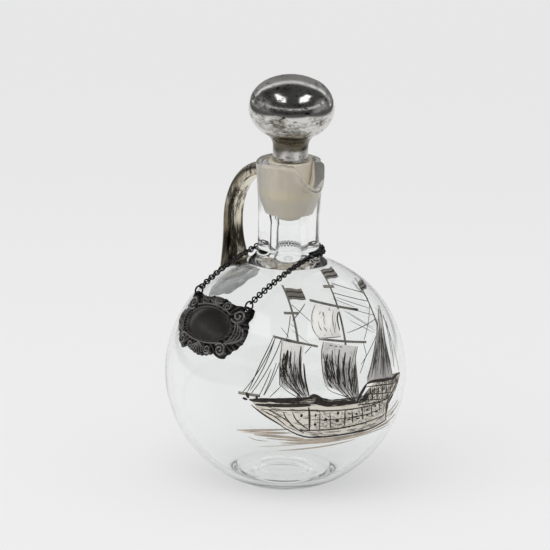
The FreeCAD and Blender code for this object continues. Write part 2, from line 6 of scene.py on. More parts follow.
import bpy
import numpy as np
from bpy.props import FloatProperty, FloatVectorProperty, IntProperty, PointerProperty
from mathutils import Matrix, Vector
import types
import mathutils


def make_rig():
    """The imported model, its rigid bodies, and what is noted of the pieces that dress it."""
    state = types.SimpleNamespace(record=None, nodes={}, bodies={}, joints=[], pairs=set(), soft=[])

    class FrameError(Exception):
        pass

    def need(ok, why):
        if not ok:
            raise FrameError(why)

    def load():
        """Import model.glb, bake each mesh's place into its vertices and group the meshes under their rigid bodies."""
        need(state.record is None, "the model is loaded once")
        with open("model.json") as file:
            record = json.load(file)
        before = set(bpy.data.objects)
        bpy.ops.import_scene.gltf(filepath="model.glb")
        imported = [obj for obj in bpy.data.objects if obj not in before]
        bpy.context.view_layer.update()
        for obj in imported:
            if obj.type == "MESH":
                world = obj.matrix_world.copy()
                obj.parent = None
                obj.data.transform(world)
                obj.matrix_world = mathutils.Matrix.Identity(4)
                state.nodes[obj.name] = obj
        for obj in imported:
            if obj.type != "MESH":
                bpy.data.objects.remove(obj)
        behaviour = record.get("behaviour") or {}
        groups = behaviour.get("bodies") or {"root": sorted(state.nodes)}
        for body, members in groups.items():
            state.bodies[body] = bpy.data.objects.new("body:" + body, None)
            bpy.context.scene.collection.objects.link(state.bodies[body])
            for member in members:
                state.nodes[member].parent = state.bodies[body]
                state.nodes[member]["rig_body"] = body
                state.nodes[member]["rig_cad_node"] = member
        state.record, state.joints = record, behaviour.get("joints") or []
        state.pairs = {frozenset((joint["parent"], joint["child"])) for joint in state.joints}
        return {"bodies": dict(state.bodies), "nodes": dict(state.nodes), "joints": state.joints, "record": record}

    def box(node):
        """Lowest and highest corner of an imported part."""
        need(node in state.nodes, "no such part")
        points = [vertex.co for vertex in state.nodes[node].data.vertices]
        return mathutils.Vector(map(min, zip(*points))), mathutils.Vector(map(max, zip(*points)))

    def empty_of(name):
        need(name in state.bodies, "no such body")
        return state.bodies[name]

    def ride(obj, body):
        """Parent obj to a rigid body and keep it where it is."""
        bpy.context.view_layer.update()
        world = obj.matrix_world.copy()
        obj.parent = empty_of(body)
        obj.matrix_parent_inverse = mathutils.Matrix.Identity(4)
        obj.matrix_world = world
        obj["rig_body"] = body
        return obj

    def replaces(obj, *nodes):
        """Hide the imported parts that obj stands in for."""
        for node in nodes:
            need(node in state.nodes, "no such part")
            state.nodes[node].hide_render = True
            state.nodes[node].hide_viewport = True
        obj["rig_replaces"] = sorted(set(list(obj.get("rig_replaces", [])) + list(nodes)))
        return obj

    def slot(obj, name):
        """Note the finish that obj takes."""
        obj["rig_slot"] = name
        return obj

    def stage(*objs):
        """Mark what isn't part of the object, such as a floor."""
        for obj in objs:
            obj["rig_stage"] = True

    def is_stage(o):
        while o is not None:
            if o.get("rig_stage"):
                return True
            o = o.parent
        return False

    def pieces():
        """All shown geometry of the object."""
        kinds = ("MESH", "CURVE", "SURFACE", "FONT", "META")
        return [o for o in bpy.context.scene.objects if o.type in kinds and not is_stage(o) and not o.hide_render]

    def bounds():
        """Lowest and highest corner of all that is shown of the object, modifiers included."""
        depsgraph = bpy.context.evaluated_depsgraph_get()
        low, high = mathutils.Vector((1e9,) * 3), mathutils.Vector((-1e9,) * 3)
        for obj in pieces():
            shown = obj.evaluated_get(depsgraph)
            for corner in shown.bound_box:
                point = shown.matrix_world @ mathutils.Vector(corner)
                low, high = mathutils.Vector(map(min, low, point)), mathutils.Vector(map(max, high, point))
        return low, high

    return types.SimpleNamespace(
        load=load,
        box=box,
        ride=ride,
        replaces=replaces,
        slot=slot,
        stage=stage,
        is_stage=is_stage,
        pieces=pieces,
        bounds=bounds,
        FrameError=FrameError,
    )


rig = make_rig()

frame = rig.load()
CAD_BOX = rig.bounds()

bl_info = {
    "name": "Glass Ewer",
    "version": (1, 0, 0),
    "blender": (4, 5, 0),
    "location": "View3D > Sidebar > Ewer",
    "description": "Builds a glass ewer with its stopper, handle, silver ship and hanging label",
    "category": "Object",
}

MM = 0.001
SIZE_FILE = "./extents.json"
PHOTO_WIDTH = 550

# Levels read from the frame
FOOT_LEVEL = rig.box("glass_body")[0].z
GLOBE_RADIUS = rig.box("glass_body")[1].y
RIM_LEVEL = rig.box("stopper_silver_overlay")[0].z

GLASS_IOR = 1.5
# Width of the camera's sensor in millimetres
SENSOR_WIDTH = 36.0
# How the neck widens towards the rim, as a power of the way up
FLARE_CURVE = 1.4
# How far over the glass the undersides of foil, engraved lines and the silver leaf lie
FOIL_SEAT = 0.01 * MM
CUT_SEAT = 0.02 * MM
LEAF_SEAT = 0.03 * MM


def length(name, about, default):
    """A length property in metres."""
    return FloatProperty(name=name, description=about, default=default, min=0.0, unit="LENGTH", precision=5)


def angle(name, about, degrees):
    """An angle property, given in degrees."""
    return FloatProperty(name=name, description=about, default=math.radians(degrees), subtype="ANGLE")


def share(name, about, default):
    """A factor from zero to one."""
    return FloatProperty(name=name, description=about, default=default, min=0.0, max=1.0, subtype="FACTOR")


def amount(name, about, default):
    """A plain positive number."""
    return FloatProperty(name=name, description=about, default=default, min=0.0)


def colour(name, about, default):
    """A colour property."""
    return FloatVectorProperty(name=name, description=about, default=default, min=0.0, max=1.0, subtype="COLOR")


class EwerVessel(bpy.types.PropertyGroup):
    """Sizes of the blown glass."""

    globe_radius: length("Globe radius", "Outer radius of the globe", GLOBE_RADIUS)
    globe_wall: length("Globe wall", "Thickness of the globe's glass", 2.8 * MM)
    foot_radius: length("Foot radius", "Where the globe's curve would meet the table", 23 * MM)
    foot_round: length("Foot round", "Rounding between foot and globe", 5 * MM)
    kick_radius: length("Push-up radius", "Radius of the hollow under the foot", 15.5 * MM)
    kick_height: length("Push-up height", "Height of the hollow under the foot", 2.2 * MM)
    floor_level: length("Floor level", "Edge of the floor inside the globe", 5.6 * MM)
    floor_crown: length("Floor crown", "Rise of the floor at its middle", 1.2 * MM)
    floor_ring: length("Floor rings", "Height of the soft rings left in the floor by the blowing", 0.5 * MM)
    neck_radius: length("Neck radius", "Outer radius of the neck", 15.9 * MM)
    shoulder_radius: length("Shoulder radius", "Curve from globe to neck", 9 * MM)
    rim_radius: length("Rim radius", "Outer radius at the rim", 17.8 * MM)
    rim_flare: length("Rim flare", "Height over which the neck widens", 30 * MM)
    rim_round: length("Rim round", "Rounding of the rim", 1.8 * MM)
    socket_radius: length("Socket radius", "Ground socket at the rim", 11.3 * MM)
    socket_foot: length("Socket foot", "Ground socket at its lower end", 10.4 * MM)
    socket_depth: length("Socket depth", "Depth of the ground socket", 18 * MM)
    throat_length: length("Throat length", "Funnel between socket and bore", 15 * MM)
    bore_radius: length("Bore radius", "Radius of the bore", 6.8 * MM)
    bore_round: length("Bore round", "Curve from bore to globe", 6 * MM)
    lip_reach: length("Lip reach", "How far the pouring lip reaches from the axis", 22.4 * MM)
    lip_depth: length("Lip depth", "Height over which the lip is pulled out", 17 * MM)
    lip_drop: length("Lip drop", "How far the tip of the lip hangs under the rim", 11.5 * MM)
    lip_pinch: length("Lip pinch", "How far the rim is pinched beside the lip", 1.5 * MM)
    lip_curl: length("Lip curl", "How far the edges of the lip curl up", 1.4 * MM)
    frost_below: length("Frost below", "How far the frosting goes on under the socket", 9.2 * MM)


class EwerStopper(bpy.types.PropertyGroup):
    """Sizes of the ground stopper."""

    plug_length: length("Plug length", "Length of the plug under the rim", 31 * MM)
    plug_round: length("Plug round", "Rounding of the plug's end", 4.6 * MM)
    plug_tip: length("Plug tip", "Radius of the plug's narrow end", 7.9 * MM)
    plug_gap: length("Plug gap", "Clearance in the socket", 0.05 * MM)
    shank_radius: length("Shank radius", "Radius of the shank", 9.2 * MM)
    crease_radius: length("Crease radius", "Radius where shank and ball meet", 13 * MM)
    flare_radius: length("Flare radius", "Curve of the shank into the ball", 8 * MM)
    ball_radius: length("Ball radius", "Largest radius of the ball", 22.2 * MM)
    side_radius: length("Side radius", "Curve of the ball's side", 15.0 * MM)
    cap_angle: angle("Cap angle", "Where the side gives way to the flatter cap", 60)
    ball_rise: length("Ball rise", "Height of the ball's middle over the rim", 28 * MM)
    skin: length("Silver skin", "Thickness of the silver", 0.3 * MM)


class EwerHandle(bpy.types.PropertyGroup):
    """Sizes of the handle."""

    reach: length("Reach", "From the axis to the handle's back", 46.5 * MM)
    drop: length("Drop", "From the rim to the top of the handle", 4 * MM)
    bend_height: length("Bend height", "Height of the bend", 32 * MM)
    crown_thickness: length("Crown thickness", "Thickness at the neck", 7.6 * MM)
    crown_width: length("Crown width", "Width at the neck", 9.8 * MM)
    strap_thickness: length("Strap thickness", "Thickness under the bend", 6.4 * MM)
    strap_width: length("Strap width", "Width under the bend", 10.8 * MM)
    root_thickness: length("Root thickness", "Thickness on the shoulder", 12 * MM)
    root_width: length("Root width", "Width on the shoulder", 17 * MM)
    tail_length: length("Tail length", "Half length of the tail on the neck", 12 * MM)
    tail_thickness: length("Tail thickness", "Half thickness of the tail", 4 * MM)
    pad_width: length("Pad width", "Width of the silver leaf on the shoulder", 31 * MM)
    pad_height: length("Pad height", "Height of the silver leaf on the shoulder", 32 * MM)
    pad_drop: angle("Pad drop", "How far the leaf lies down the slope from the handle's foot", 5.5)


class EwerLabel(bpy.types.PropertyGroup):
    """Sizes of the hanging label."""

    half_width: length("Half width", "Half width of the label", 24.5 * MM)
    half_height: length("Half height", "Half height of the label", 16.5 * MM)
    gap: length("Gap", "Clearance over the glass", 1.0 * MM)
    thickness: length("Thickness", "Thickness of the plate", 1.2 * MM)
    relief: length("Relief", "Height of the chased border", 1.6 * MM)
    dome: length("Dome", "Rise of the plain middle", 0.9 * MM)
    lean: length("Lean", "How far the label's curve is set off upwards", 2 * MM)
    latitude: angle("Latitude", "Where the label's middle lies on the globe", 32)
    ear_across: length("Ear across", "Half the distance between the ear holes", 19.5 * MM)
    ear_up: length("Ear height", "Ear holes over the label's middle", 13 * MM)
    ear_hole: length("Ear hole", "Radius of the ear holes", 1.05 * MM)
    ear_web: length("Ear web", "Thickness of metal round an ear hole", 1.2 * MM)


class EwerShip(bpy.types.PropertyGroup):
    """Sizes of the silver ship."""

    azimuth: angle("Azimuth", "Where the ship lies round the globe", -16)
    half_angle: angle("Half angle", "Half of the ship's length on the globe", 43)
    mast_height: length("Mast height", "Height of the tallest mast over the globe's middle", 58.087 * MM)
    draught_angle: angle("Draught angle", "Depth of the hull on the globe", 17)
    foil: length("Foil", "Thickness of the silver", 0.15 * MM)
    mast_width: length("Mast width", "Width of a mast at its foot", 1.5 * MM)
    yard_width: length("Yard width", "Width of a yard", 1.1 * MM)
    rope_width: length("Rope width", "Width of a rope", 0.32 * MM)
    wave_width: length("Wave width", "Width of a sea line", 0.8 * MM)
    cut_width: length("Cut width", "Width of an engraved line", 0.3 * MM)
    cut_lift: length("Cut lift", "How far the dark of an engraved line stands over the foil", 0.13 * MM)


class EwerStage(bpy.types.PropertyGroup):
    """Camera, light and floor."""

    azimuth: angle("Azimuth", "Camera's place round the ewer", 48)
    elevation: angle("Elevation", "Camera's height over the horizon", 15)
    roll: angle("Roll", "Camera's lean", 1.3)
    distance: length("Distance", "From the camera to the globe", 5.0)
    pixel: length("Pixel", "Size of a picture pixel at the globe", 0.519 * MM)
    globe_x: FloatProperty(name="Globe X", description="Globe's middle in the picture", default=285.5)
    globe_y: FloatProperty(name="Globe Y", description="Globe's middle in the picture", default=370.0)
    floor_size: length("Floor size", "Half the side of the floor", 4.0)
    floor_colour: colour("Floor colour", "Colour of the floor", (0.47, 0.47, 0.47))
    floor_glow: share("Floor glow", "White added to the floor where it is seen", 0.40)
    paper_width: length("Paper width", "Half the width of the pale sheet that glass and metal see", 0.50)
    paper_front: length("Paper front", "How far that sheet comes towards the camera", 0.55)
    paper_fade: length("Paper fade", "How softly that sheet ends", 0.30)
    sky: amount("Sky", "Strength of the broad lamp overhead", 1.5)
    sky_spread: angle("Sky spread", "Width of the broad lamp as seen from the ewer", 70)
    ambient: share("Ambient", "Soft light from all round", 0.65)


class EwerFinish(bpy.types.PropertyGroup):
    """Colours of the finishes."""

    glass: colour("Glass", "Clear glass", (0.985, 0.995, 0.99))
    ground: colour("Ground glass", "Frosted glass", (0.86, 0.79, 0.665))
    silver: colour("Silver", "Polished silver", (0.83, 0.82, 0.79))
    tarnish: colour("Tarnish", "Brown film on silver", (0.20, 0.165, 0.105))
    backing: colour("Backing", "Silver seen from its back", (0.30, 0.31, 0.30))
    oxide: colour("Oxide", "Darkened silver", (0.085, 0.080, 0.077))
    rubbed: colour("Rubbed", "Darkened silver where it is rubbed", (0.34, 0.33, 0.32))
    engraved: colour("Engraved", "Dark in the engraved lines", (0.030, 0.026, 0.022))
    shade: colour("Shade", "Dark in the folds of the sails", (0.42, 0.41, 0.395))
    sepia: colour("Sepia", "Brown stain of the sea", (0.42, 0.355, 0.29))


class EwerSettings(bpy.types.PropertyGroup):
    """All sizes and colours of the ewer."""

    vessel: PointerProperty(type=EwerVessel)
    stopper: PointerProperty(type=EwerStopper)
    handle: PointerProperty(type=EwerHandle)
    label: PointerProperty(type=EwerLabel)
    ship: PointerProperty(type=EwerShip)
    stage: PointerProperty(type=EwerStage)
    finish: PointerProperty(type=EwerFinish)
    round_steps: IntProperty(name="Round steps", description="Facets round a turned piece", default=224, min=24)


# Turned and lofted meshes

def arc(across, up, radius, first, last, steps):
    """Points of an arc in a half section, angles in radians."""
    return [(across + radius * math.cos(a), up + radius * math.sin(a)) for a in np.linspace(first, last, steps)]


def run(start, end, steps):
    """Points of a straight stretch of a half section, without its ends."""
    return [tuple(np.array(start) + (np.array(end) - np.array(start)) * t) for t in np.linspace(0, 1, steps + 2)[1:-1]]


def turned(profile, steps):
    """Vertices and faces of a half section turned about the vertical axis."""
    points, faces, rings = [], [], []
    turn = [(math.cos(a), math.sin(a)) for a in np.linspace(0, math.tau, steps, endpoint=False)]
    for radius, level in profile:
        spots = [(0.0, 0.0)] if radius <= 0 else [(radius * c, radius * s) for c, s in turn]
        rings.append(range(len(points), len(points) + len(spots)))
        points += [(x, y, level) for x, y in spots]
    for low, high in zip(rings, rings[1:]):
        for k in range(steps):
            n = (k + 1) % steps
            corners = [low[k % len(low)], low[n % len(low)], high[n % len(high)], high[k % len(high)]]
            corners = list(dict.fromkeys(corners))
            if len(corners) > 2:
                faces.append(corners)
    return np.array(points), faces


def lofted(rings):
    """Vertices and faces of a tube through rings of equal count, closed at both ends."""
    count = len(rings[0])
    points = np.concatenate(rings)
    faces = []
    for row in range(len(rings) - 1):
        for k in range(count):
            n = (k + 1) % count
            faces.append([row * count + k, row * count + n, (row + 1) * count + n, (row + 1) * count + k])
    for row, turn in ((0, -1), (len(rings) - 1, 1)):
        middle = len(points)
        points = np.vstack([points, rings[row].mean(0)])
        for k in range(count):
            edge = [row * count + k, row * count + (k + 1) % count]
            faces.append(edge[::turn] + [middle])
    return points, faces


def merged(parts):
    """One list of vertices and faces from several."""
    points, faces = [], []
    for spots, corners in parts:
        shift = sum(len(p) for p in points)
        points.append(np.array(spots))
        faces += [[c + shift for c in face] for face in corners]
    return np.concatenate(points), faces


def smoothstep(value, low, high):
    """Smooth rise from 0 at low to 1 at high."""
    t = np.clip((value - low) / (high - low), 0, 1)
    return t * t * (3 - 2 * t)


def piece(name, points, faces, materials, body, slot, stands_for=(), sharp=0.6, marks=None):
    """A smooth mesh that rides on a body and stands for some of the frame's nodes."""
    mesh = bpy.data.meshes.new(name)
    mesh.from_pydata([tuple(p) for p in points], [], faces)
    for material in materials:
        mesh.materials.append(material)
    mesh.polygons.foreach_set("use_smooth", np.ones(len(mesh.polygons), bool))
    if marks is not None:
        mesh.polygons.foreach_set("material_index", np.array(marks, np.int32))
    mesh.set_sharp_from_angle(angle=sharp)
    mesh.update()
    item = bpy.data.objects.new(name, mesh)
    bpy.context.scene.collection.objects.link(item)
    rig.ride(item, body)
    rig.slot(item, slot)
    if stands_for:
        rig.replaces(item, *stands_for)
    return item


# Shader helpers

def new_group(name, inputs, outputs):
    """A node group with named sockets, its input node and its output node."""
    group = bpy.data.node_groups.new(name, "ShaderNodeTree")
    for label, kind, default in inputs:
        socket = group.interface.new_socket(label, in_out="INPUT", socket_type=kind)
        if default is not None:
            socket.default_value = default
    for label, kind in outputs:
        group.interface.new_socket(label, in_out="OUTPUT", socket_type=kind)
    return group, group.nodes.new("NodeGroupInput"), group.nodes.new("NodeGroupOutput")


def add(tree, kind, links=None, **settings):
    """A node with settings and inputs; an input is a socket or a value."""
    node = tree.nodes.new(kind)
    for key, setting in settings.items():
        setattr(node, key, setting)
    for key, source in (links or {}).items():
        if isinstance(source, bpy.types.NodeSocket):
            tree.links.new(source, node.inputs[key])
        else:
            node.inputs[key].default_value = source
    return node


def math_node(tree, operation, *sources):
    """The result of a math node."""
    node = add(tree, "ShaderNodeMath", dict(enumerate(sources)), operation=operation)
    return node.outputs[0]


def ramp(tree, source, stops):
    """A colour ramp's colour; stops are (place, grey or colour)."""
    node = add(tree, "ShaderNodeValToRGB", {"Fac": source})
    elements = node.color_ramp.elements
    while len(elements) < len(stops):
        elements.new(0.5)
    for element, (place, tone) in zip(elements, stops):
        element.position = place
        element.color = (tone, tone, tone, 1) if isinstance(tone, (int, float)) else (*tone, 1)
    return node.outputs["Color"]


def mix(tree, factor, first, second):
    """A colour mix."""
    node = add(tree, "ShaderNodeMix", data_type="RGBA")
    for place, source in ((0, factor), (6, first), (7, second)):
        if isinstance(source, bpy.types.NodeSocket):
            tree.links.new(source, node.inputs[place])
        else:
            node.inputs[place].default_value = source if place == 0 else (*source, 1)
    return node.outputs[2]


def own_place(tree):
    """Object coordinates."""
    return add(tree, "ShaderNodeTexCoord").outputs["Object"]


def own_level(tree):
    """Height in object coordinates."""
    return add(tree, "ShaderNodeSeparateXYZ", {0: own_place(tree)}).outputs["Z"]


def stretched(tree, scale):
    """Object coordinates scaled along each axis."""
    return add(tree, "ShaderNodeMapping", {"Vector": own_place(tree), "Scale": scale}).outputs["Vector"]


def dot(tree, vector, way):
    """How far a vector goes along a way."""
    return add(tree, "ShaderNodeVectorMath", {0: vector, 1: way}, operation="DOT_PRODUCT").outputs["Value"]


def climb(tree, source, low, high):
    """A value that climbs from 0 at low to 1 at high."""
    node = add(tree, "ShaderNodeMapRange", {"Value": source, "From Min": low, "From Max": high},
               interpolation_type="SMOOTHSTEP")
    return node.outputs["Result"]


def toned(tone, factor):
    """A colour made lighter or darker."""
    return [c * factor for c in tone]


def noise(tree, vector, scale, detail=4.0, rough=0.55):
    """A noise value."""
    node = add(tree, "ShaderNodeTexNoise", {"Vector": vector, "Scale": scale, "Detail": detail, "Roughness": rough})
    return node.outputs["Fac"]


def wear_group():
    """Film, scratches and hazy roughness of handled metal."""
    if "handled_metal" in bpy.data.node_groups:
        return bpy.data.node_groups["handled_metal"]
    group, given, out = new_group(
        "handled_metal",
        [("Stretch", "NodeSocketVector", (1.0, 1.0, 1.0)), ("Film", "NodeSocketFloat", 0.4),
         ("Gloss", "NodeSocketFloat", 0.1), ("Haze", "NodeSocketFloat", 0.15)],
        [("Film", "NodeSocketFloat"), ("Roughness", "NodeSocketFloat"), ("Height", "NodeSocketFloat")])
    place = own_place(group)
    stretch = add(group, "ShaderNodeVectorMath", {0: place, 1: given.outputs["Stretch"]}, operation="MULTIPLY")
    along = stretch.outputs[0]
    blotch = noise(group, along, 60.0, 6.0, 0.62)
    fine = noise(group, along, 420.0, 5.0, 0.6)
    both = math_node(group, "MULTIPLY_ADD", fine, 0.35, math_node(group, "MULTIPLY", blotch, 0.75))
    low = math_node(group, "SUBTRACT", 0.84, math_node(group, "MULTIPLY", given.outputs["Film"], 0.5))
    film = add(group, "ShaderNodeMapRange", {"Value": both, "From Min": low,
                                             "From Max": math_node(group, "ADD", low, 0.16)}).outputs["Result"]
    rough = math_node(group, "MULTIPLY_ADD", fine, given.outputs["Haze"], given.outputs["Gloss"])
    rough = math_node(group, "MULTIPLY_ADD", film, 0.18, rough)
    scratch = add(group, "ShaderNodeTexNoise", {"Vector": along, "Scale": 1500.0, "Detail": 2.0}).outputs["Fac"]
    height = math_node(group, "MULTIPLY_ADD", scratch, 0.35, math_node(group, "MULTIPLY", blotch, 0.65))
    for name, source in (("Film", film), ("Roughness", rough), ("Height", height)):
        group.links.new(source, out.inputs[name])
    return group


def speckle_group():
    """Fine ripple and grain of worked glass."""
    if "worked_glass" in bpy.data.node_groups:
        return bpy.data.node_groups["worked_glass"]
    group, given, out = new_group(
        "worked_glass",
        [("Scale", "NodeSocketFloat", 20.0), ("Grain", "NodeSocketFloat", 0.02), ("Base", "NodeSocketFloat", 0.0)],
        [("Height", "NodeSocketFloat"), ("Roughness", "NodeSocketFloat"), ("Cloud", "NodeSocketFloat")])
    place = own_place(group)
    wide = add(group, "ShaderNodeTexNoise", {"Vector": place, "Scale": given.outputs["Scale"], "Detail": 1.0})
    fine = add(group, "ShaderNodeTexNoise", {"Vector": place, "Scale": 900.0, "Detail": 3.0})
    rough = math_node(group, "MULTIPLY_ADD", fine.outputs["Fac"], given.outputs["Grain"], given.outputs["Base"])
    for name, source in (("Height", wide.outputs["Fac"]), ("Roughness", rough), ("Cloud", fine.outputs["Fac"])):
        group.links.new(source, out.inputs[name])
    return group


def new_material(name):
    """A new material with its tree and Principled shader; an old one comes without them."""
    material = bpy.data.materials.get(name)
    if material:
        return material, None, None
    material = bpy.data.materials.new(name)
    material.use_nodes = True
    tree = material.node_tree
    return material, tree, tree.nodes["Principled BSDF"]


def link(tree, source, shader, name):
    """Join a socket to one of the shader's inputs."""
    tree.links.new(source, shader.inputs[name])


def group_node(tree, group, **values):
    """A node group placed in a material with its own values."""
    node = add(tree, "ShaderNodeGroup", node_tree=group)
    for key, setting in values.items():
        node.inputs[key].default_value = setting
    return node


def bump(tree, shader, height, strength, distance):
    """A bump node from a height to the shader's normal."""
    node = add(tree, "ShaderNodeBump", {"Height": height, "Strength": strength, "Distance": distance})
    link(tree, node.outputs["Normal"], shader, "Normal")


def dress(tree, shader, tone, rough, metal=0.0):
    """Give the shader its colour, roughness and share of metal."""
    link(tree, tone, shader, "Base Color")
    link(tree, rough, shader, "Roughness")
    shader.inputs["Metallic"].default_value = metal


def see_through(shader, weight):
    """Let light through as glass does."""
    shader.inputs["Transmission Weight"].default_value = weight
    shader.inputs["IOR"].default_value = GLASS_IOR


def let_lamps_through(tree, shader):
    """Glass that casts only a faint shadow."""
    clear = add(tree, "ShaderNodeBsdfTransparent", {"Color": (0.93, 0.94, 0.935, 1)})
    lights = add(tree, "ShaderNodeLightPath")
    blend = add(tree, "ShaderNodeMixShader", {0: lights.outputs["Is Shadow Ray"], 1: shader.outputs[0],
                                              2: clear.outputs[0]})
    tree.links.new(blend.outputs[0], tree.nodes["Material Output"].inputs["Surface"])


def clear_glass(finish):
    """Fire-polished glass with a faint ripple."""
    material, tree, shader = new_material("fire_polished_glass")
    if tree:
        shader.inputs["Base Color"].default_value = (*finish.glass, 1)
        see_through(shader, 1.0)
        grain = group_node(tree, speckle_group(), Scale=26.0, Grain=0.012, Base=0.0)
        link(tree, grain.outputs["Roughness"], shader, "Roughness")
        bump(tree, shader, grain.outputs["Height"], 0.10, 0.0012)
        let_lamps_through(tree, shader)
    return material


def painted_reflection_rim_glass(finish):
    """The rim and lip with a painted reflection: clear glass made partly milky and clouded in a fine grain with the
    frosted socket's colour, which stands in for the socket seen in them by internal reflection.
    """
    material, tree, shader = new_material("painted_reflection_rim_glass")
    if tree:
        grain = group_node(tree, speckle_group(), Scale=120.0, Grain=0.04, Base=0.0)
        # Painted reflection: the frosted socket's colour mixed into the rim's glass, for the socket seen in it by
        # internal reflection
        tone = mix(tree, grain.outputs["Height"], finish.glass, finish.ground)
        dress(tree, shader, tone, grain.outputs["Roughness"])
        see_through(shader, 0.76)
        bump(tree, shader, grain.outputs["Height"], 0.15, 0.0008)
        let_lamps_through(tree, shader)
    return material


# Yellowish band of the socket, in millimetres under the rim: where it starts, is full, fades and ends
YELLOW_BAND_LEVELS = (21, 17, 16, 13)
YELLOW_BAND_TONE = (0.90, 0.80, 0.58)


def socket_glass(finish):
    """The ground inside of the neck, frosted by the grinding."""
    material, tree, shader = new_material("socket_glass")
    if tree:
        grain = group_node(tree, speckle_group(), Scale=90.0, Grain=0.2, Base=0.45)
        tone = mix(tree, grain.outputs["Height"], finish.ground, toned(finish.ground, 0.95))
        level = own_level(tree)
        low, full, ends, high = (RIM_LEVEL - down * MM for down in YELLOW_BAND_LEVELS)
        # A yellowish band laid over the socket's frost between these levels
        worn = math_node(tree, "MULTIPLY", climb(tree, level, low, full), climb(tree, level, high, ends))
        tone = mix(tree, math_node(tree, "MULTIPLY", worn, 0.7), tone, YELLOW_BAND_TONE)
        dress(tree, shader, tone, grain.outputs["Roughness"])
        see_through(shader, 0.30)
        let_lamps_through(tree, shader)
    return material


def ground_glass(finish):
    """Frosted glass of the plug, with rings left by the grinding."""
    material, tree, shader = new_material("frosted_glass")
    if tree:
        grain = group_node(tree, speckle_group(), Scale=60.0, Grain=0.15, Base=0.55)
        rings = add(tree, "ShaderNodeTexWave", {"Vector": stretched(tree, (0.2, 0.2, 1.0)), "Scale": 260.0,
                                                "Distortion": 6.0, "Detail": 2.0}, bands_direction="Z")
        tone = mix(tree, grain.outputs["Height"], toned(finish.ground, 0.93), finish.ground)
        tone = mix(tree, math_node(tree, "MULTIPLY", rings.outputs["Fac"], 0.12), tone, (0.80, 0.70, 0.46))
        dress(tree, shader, tone, grain.outputs["Roughness"])
        see_through(shader, 0.12)
        bump(tree, shader, rings.outputs["Fac"], 0.12, 0.0002)
    return material


def silver(name, finish, film, gloss, haze, stretch, tint=(1, 1, 1), bands=(), stain=None, metal=1.0, pits=0.0):
    """Silver with tarnish, scratches, haze and dark specks; bands are (level, film) pairs from low to high."""
    material, tree, shader = new_material(name)
    if tree:
        stain = stain or finish.tarnish
        wear = group_node(tree, wear_group(), Stretch=stretch, Film=film, Gloss=gloss, Haze=haze)
        tone = mix(tree, wear.outputs["Film"], [c * t for c, t in zip(finish.silver, tint)], stain)
        if bands:
            level = own_level(tree)
            ragged = math_node(tree, "MULTIPLY_ADD", wear.outputs["Height"], 12 * MM, level)
            low, high = bands[0][0], bands[-1][0]
            spot = add(tree, "ShaderNodeMapRange", {"Value": ragged, "From Min": low, "From Max": high})
            veil = ramp(tree, spot.outputs["Result"], [((z - low) / (high - low), depth) for z, depth in bands])
            tone = mix(tree, veil, tone, stain)
        if pits:
            specks = noise(tree, stretched(tree, stretch), 190.0, 8.0, 0.72)
            edge = 0.72 - 0.26 * pits
            tone = mix(tree, climb(tree, specks, edge, edge + 0.07), tone, finish.engraved)
        dress(tree, shader, tone, wear.outputs["Roughness"], metal)
        bump(tree, shader, wear.outputs["Height"], 0.08, 0.0004)
    return material


# Tarnish of the handle as (level in metres, film)
HANDLE_BANDS = (
    (0.100, 0.55), (0.112, 0.35), (0.120, 0.85), (0.140, 0.95), (0.147, 0.25), (0.160, 0.15), (0.172, 0.45),
)
# Levels in metres between which the painted reflection on the handle's inner face turns from pale to dark, and between
# which its edges darken
INNER_REFLECTION_SPLIT = (0.157, 0.154)
EDGE_DARK = (0.166, 0.150)


def handle_silver(finish):
    """Tarnished silver of the handle with a painted reflection on its inner face: pale over the bend for the frosted
    neck it mirrors, dark under it for the clear neck, with a dark edge.
    """
    known = "handle_silver" in bpy.data.materials
    material = silver("handle_silver", finish, film=0.60, gloss=0.06, haze=0.12, stretch=(2.2, 2.2, 0.35),
                      tint=(0.82, 0.77, 0.66), pits=0.68, bands=HANDLE_BANDS)
    if not known:
        tree = material.node_tree
        shader = tree.nodes["Principled BSDF"]
        tone = shader.inputs["Base Color"].links[0].from_socket
        inner = add(tree, "ShaderNodeAttribute", attribute_name="inner").outputs["Fac"]
        level = own_level(tree)
        frayed = noise(tree, stretched(tree, (2.2, 2.2, 0.5)), 150.0, 5.0)
        ragged = math_node(tree, "MULTIPLY_ADD", frayed, 14 * MM, level)
        below = climb(tree, ragged, *INNER_REFLECTION_SPLIT)
        streak = climb(tree, noise(tree, stretched(tree, (3.0, 3.0, 0.25)), 160.0, 6.0, 0.65), 0.60, 0.50)
        # Painted reflection on the inner face: pale beige over the bend for the frosted neck, dark brown with streaks
        # under it for the clear neck
        face = mix(tree, math_node(tree, "MULTIPLY", below, streak), (0.80, 0.745, 0.61), (0.085, 0.072, 0.052))
        shown = mix(tree, math_node(tree, "MULTIPLY", climb(tree, inner, 0.6, 0.85), 0.85), tone, face)
        edge = math_node(tree, "MULTIPLY", climb(tree, inner, 0.15, 0.45), climb(tree, inner, 0.92, 0.65))
        edge = math_node(tree, "MULTIPLY", edge, climb(tree, ragged, *EDGE_DARK))
        link(tree, mix(tree, math_node(tree, "MULTIPLY", edge, streak), shown, finish.engraved), shader, "Base Color")
    return material


def backing_silver(finish):
    """The mottled back of the silver, seen through glass."""
    material, tree, shader = new_material("silver_back")
    if tree:
        wear = group_node(tree, wear_group(), Stretch=(1, 1, 1), Film=0.62, Gloss=0.3, Haze=0.2)
        tone = mix(tree, wear.outputs["Film"], finish.backing, toned(finish.backing, 1.9))
        specks = noise(tree, stretched(tree, (1, 1, 1)), 260.0, 6.0, 0.7)
        tone = mix(tree, climb(tree, specks, 0.55, 0.63), tone, finish.silver)
        dress(tree, shader, tone, wear.outputs["Roughness"], 0.6)
    return material


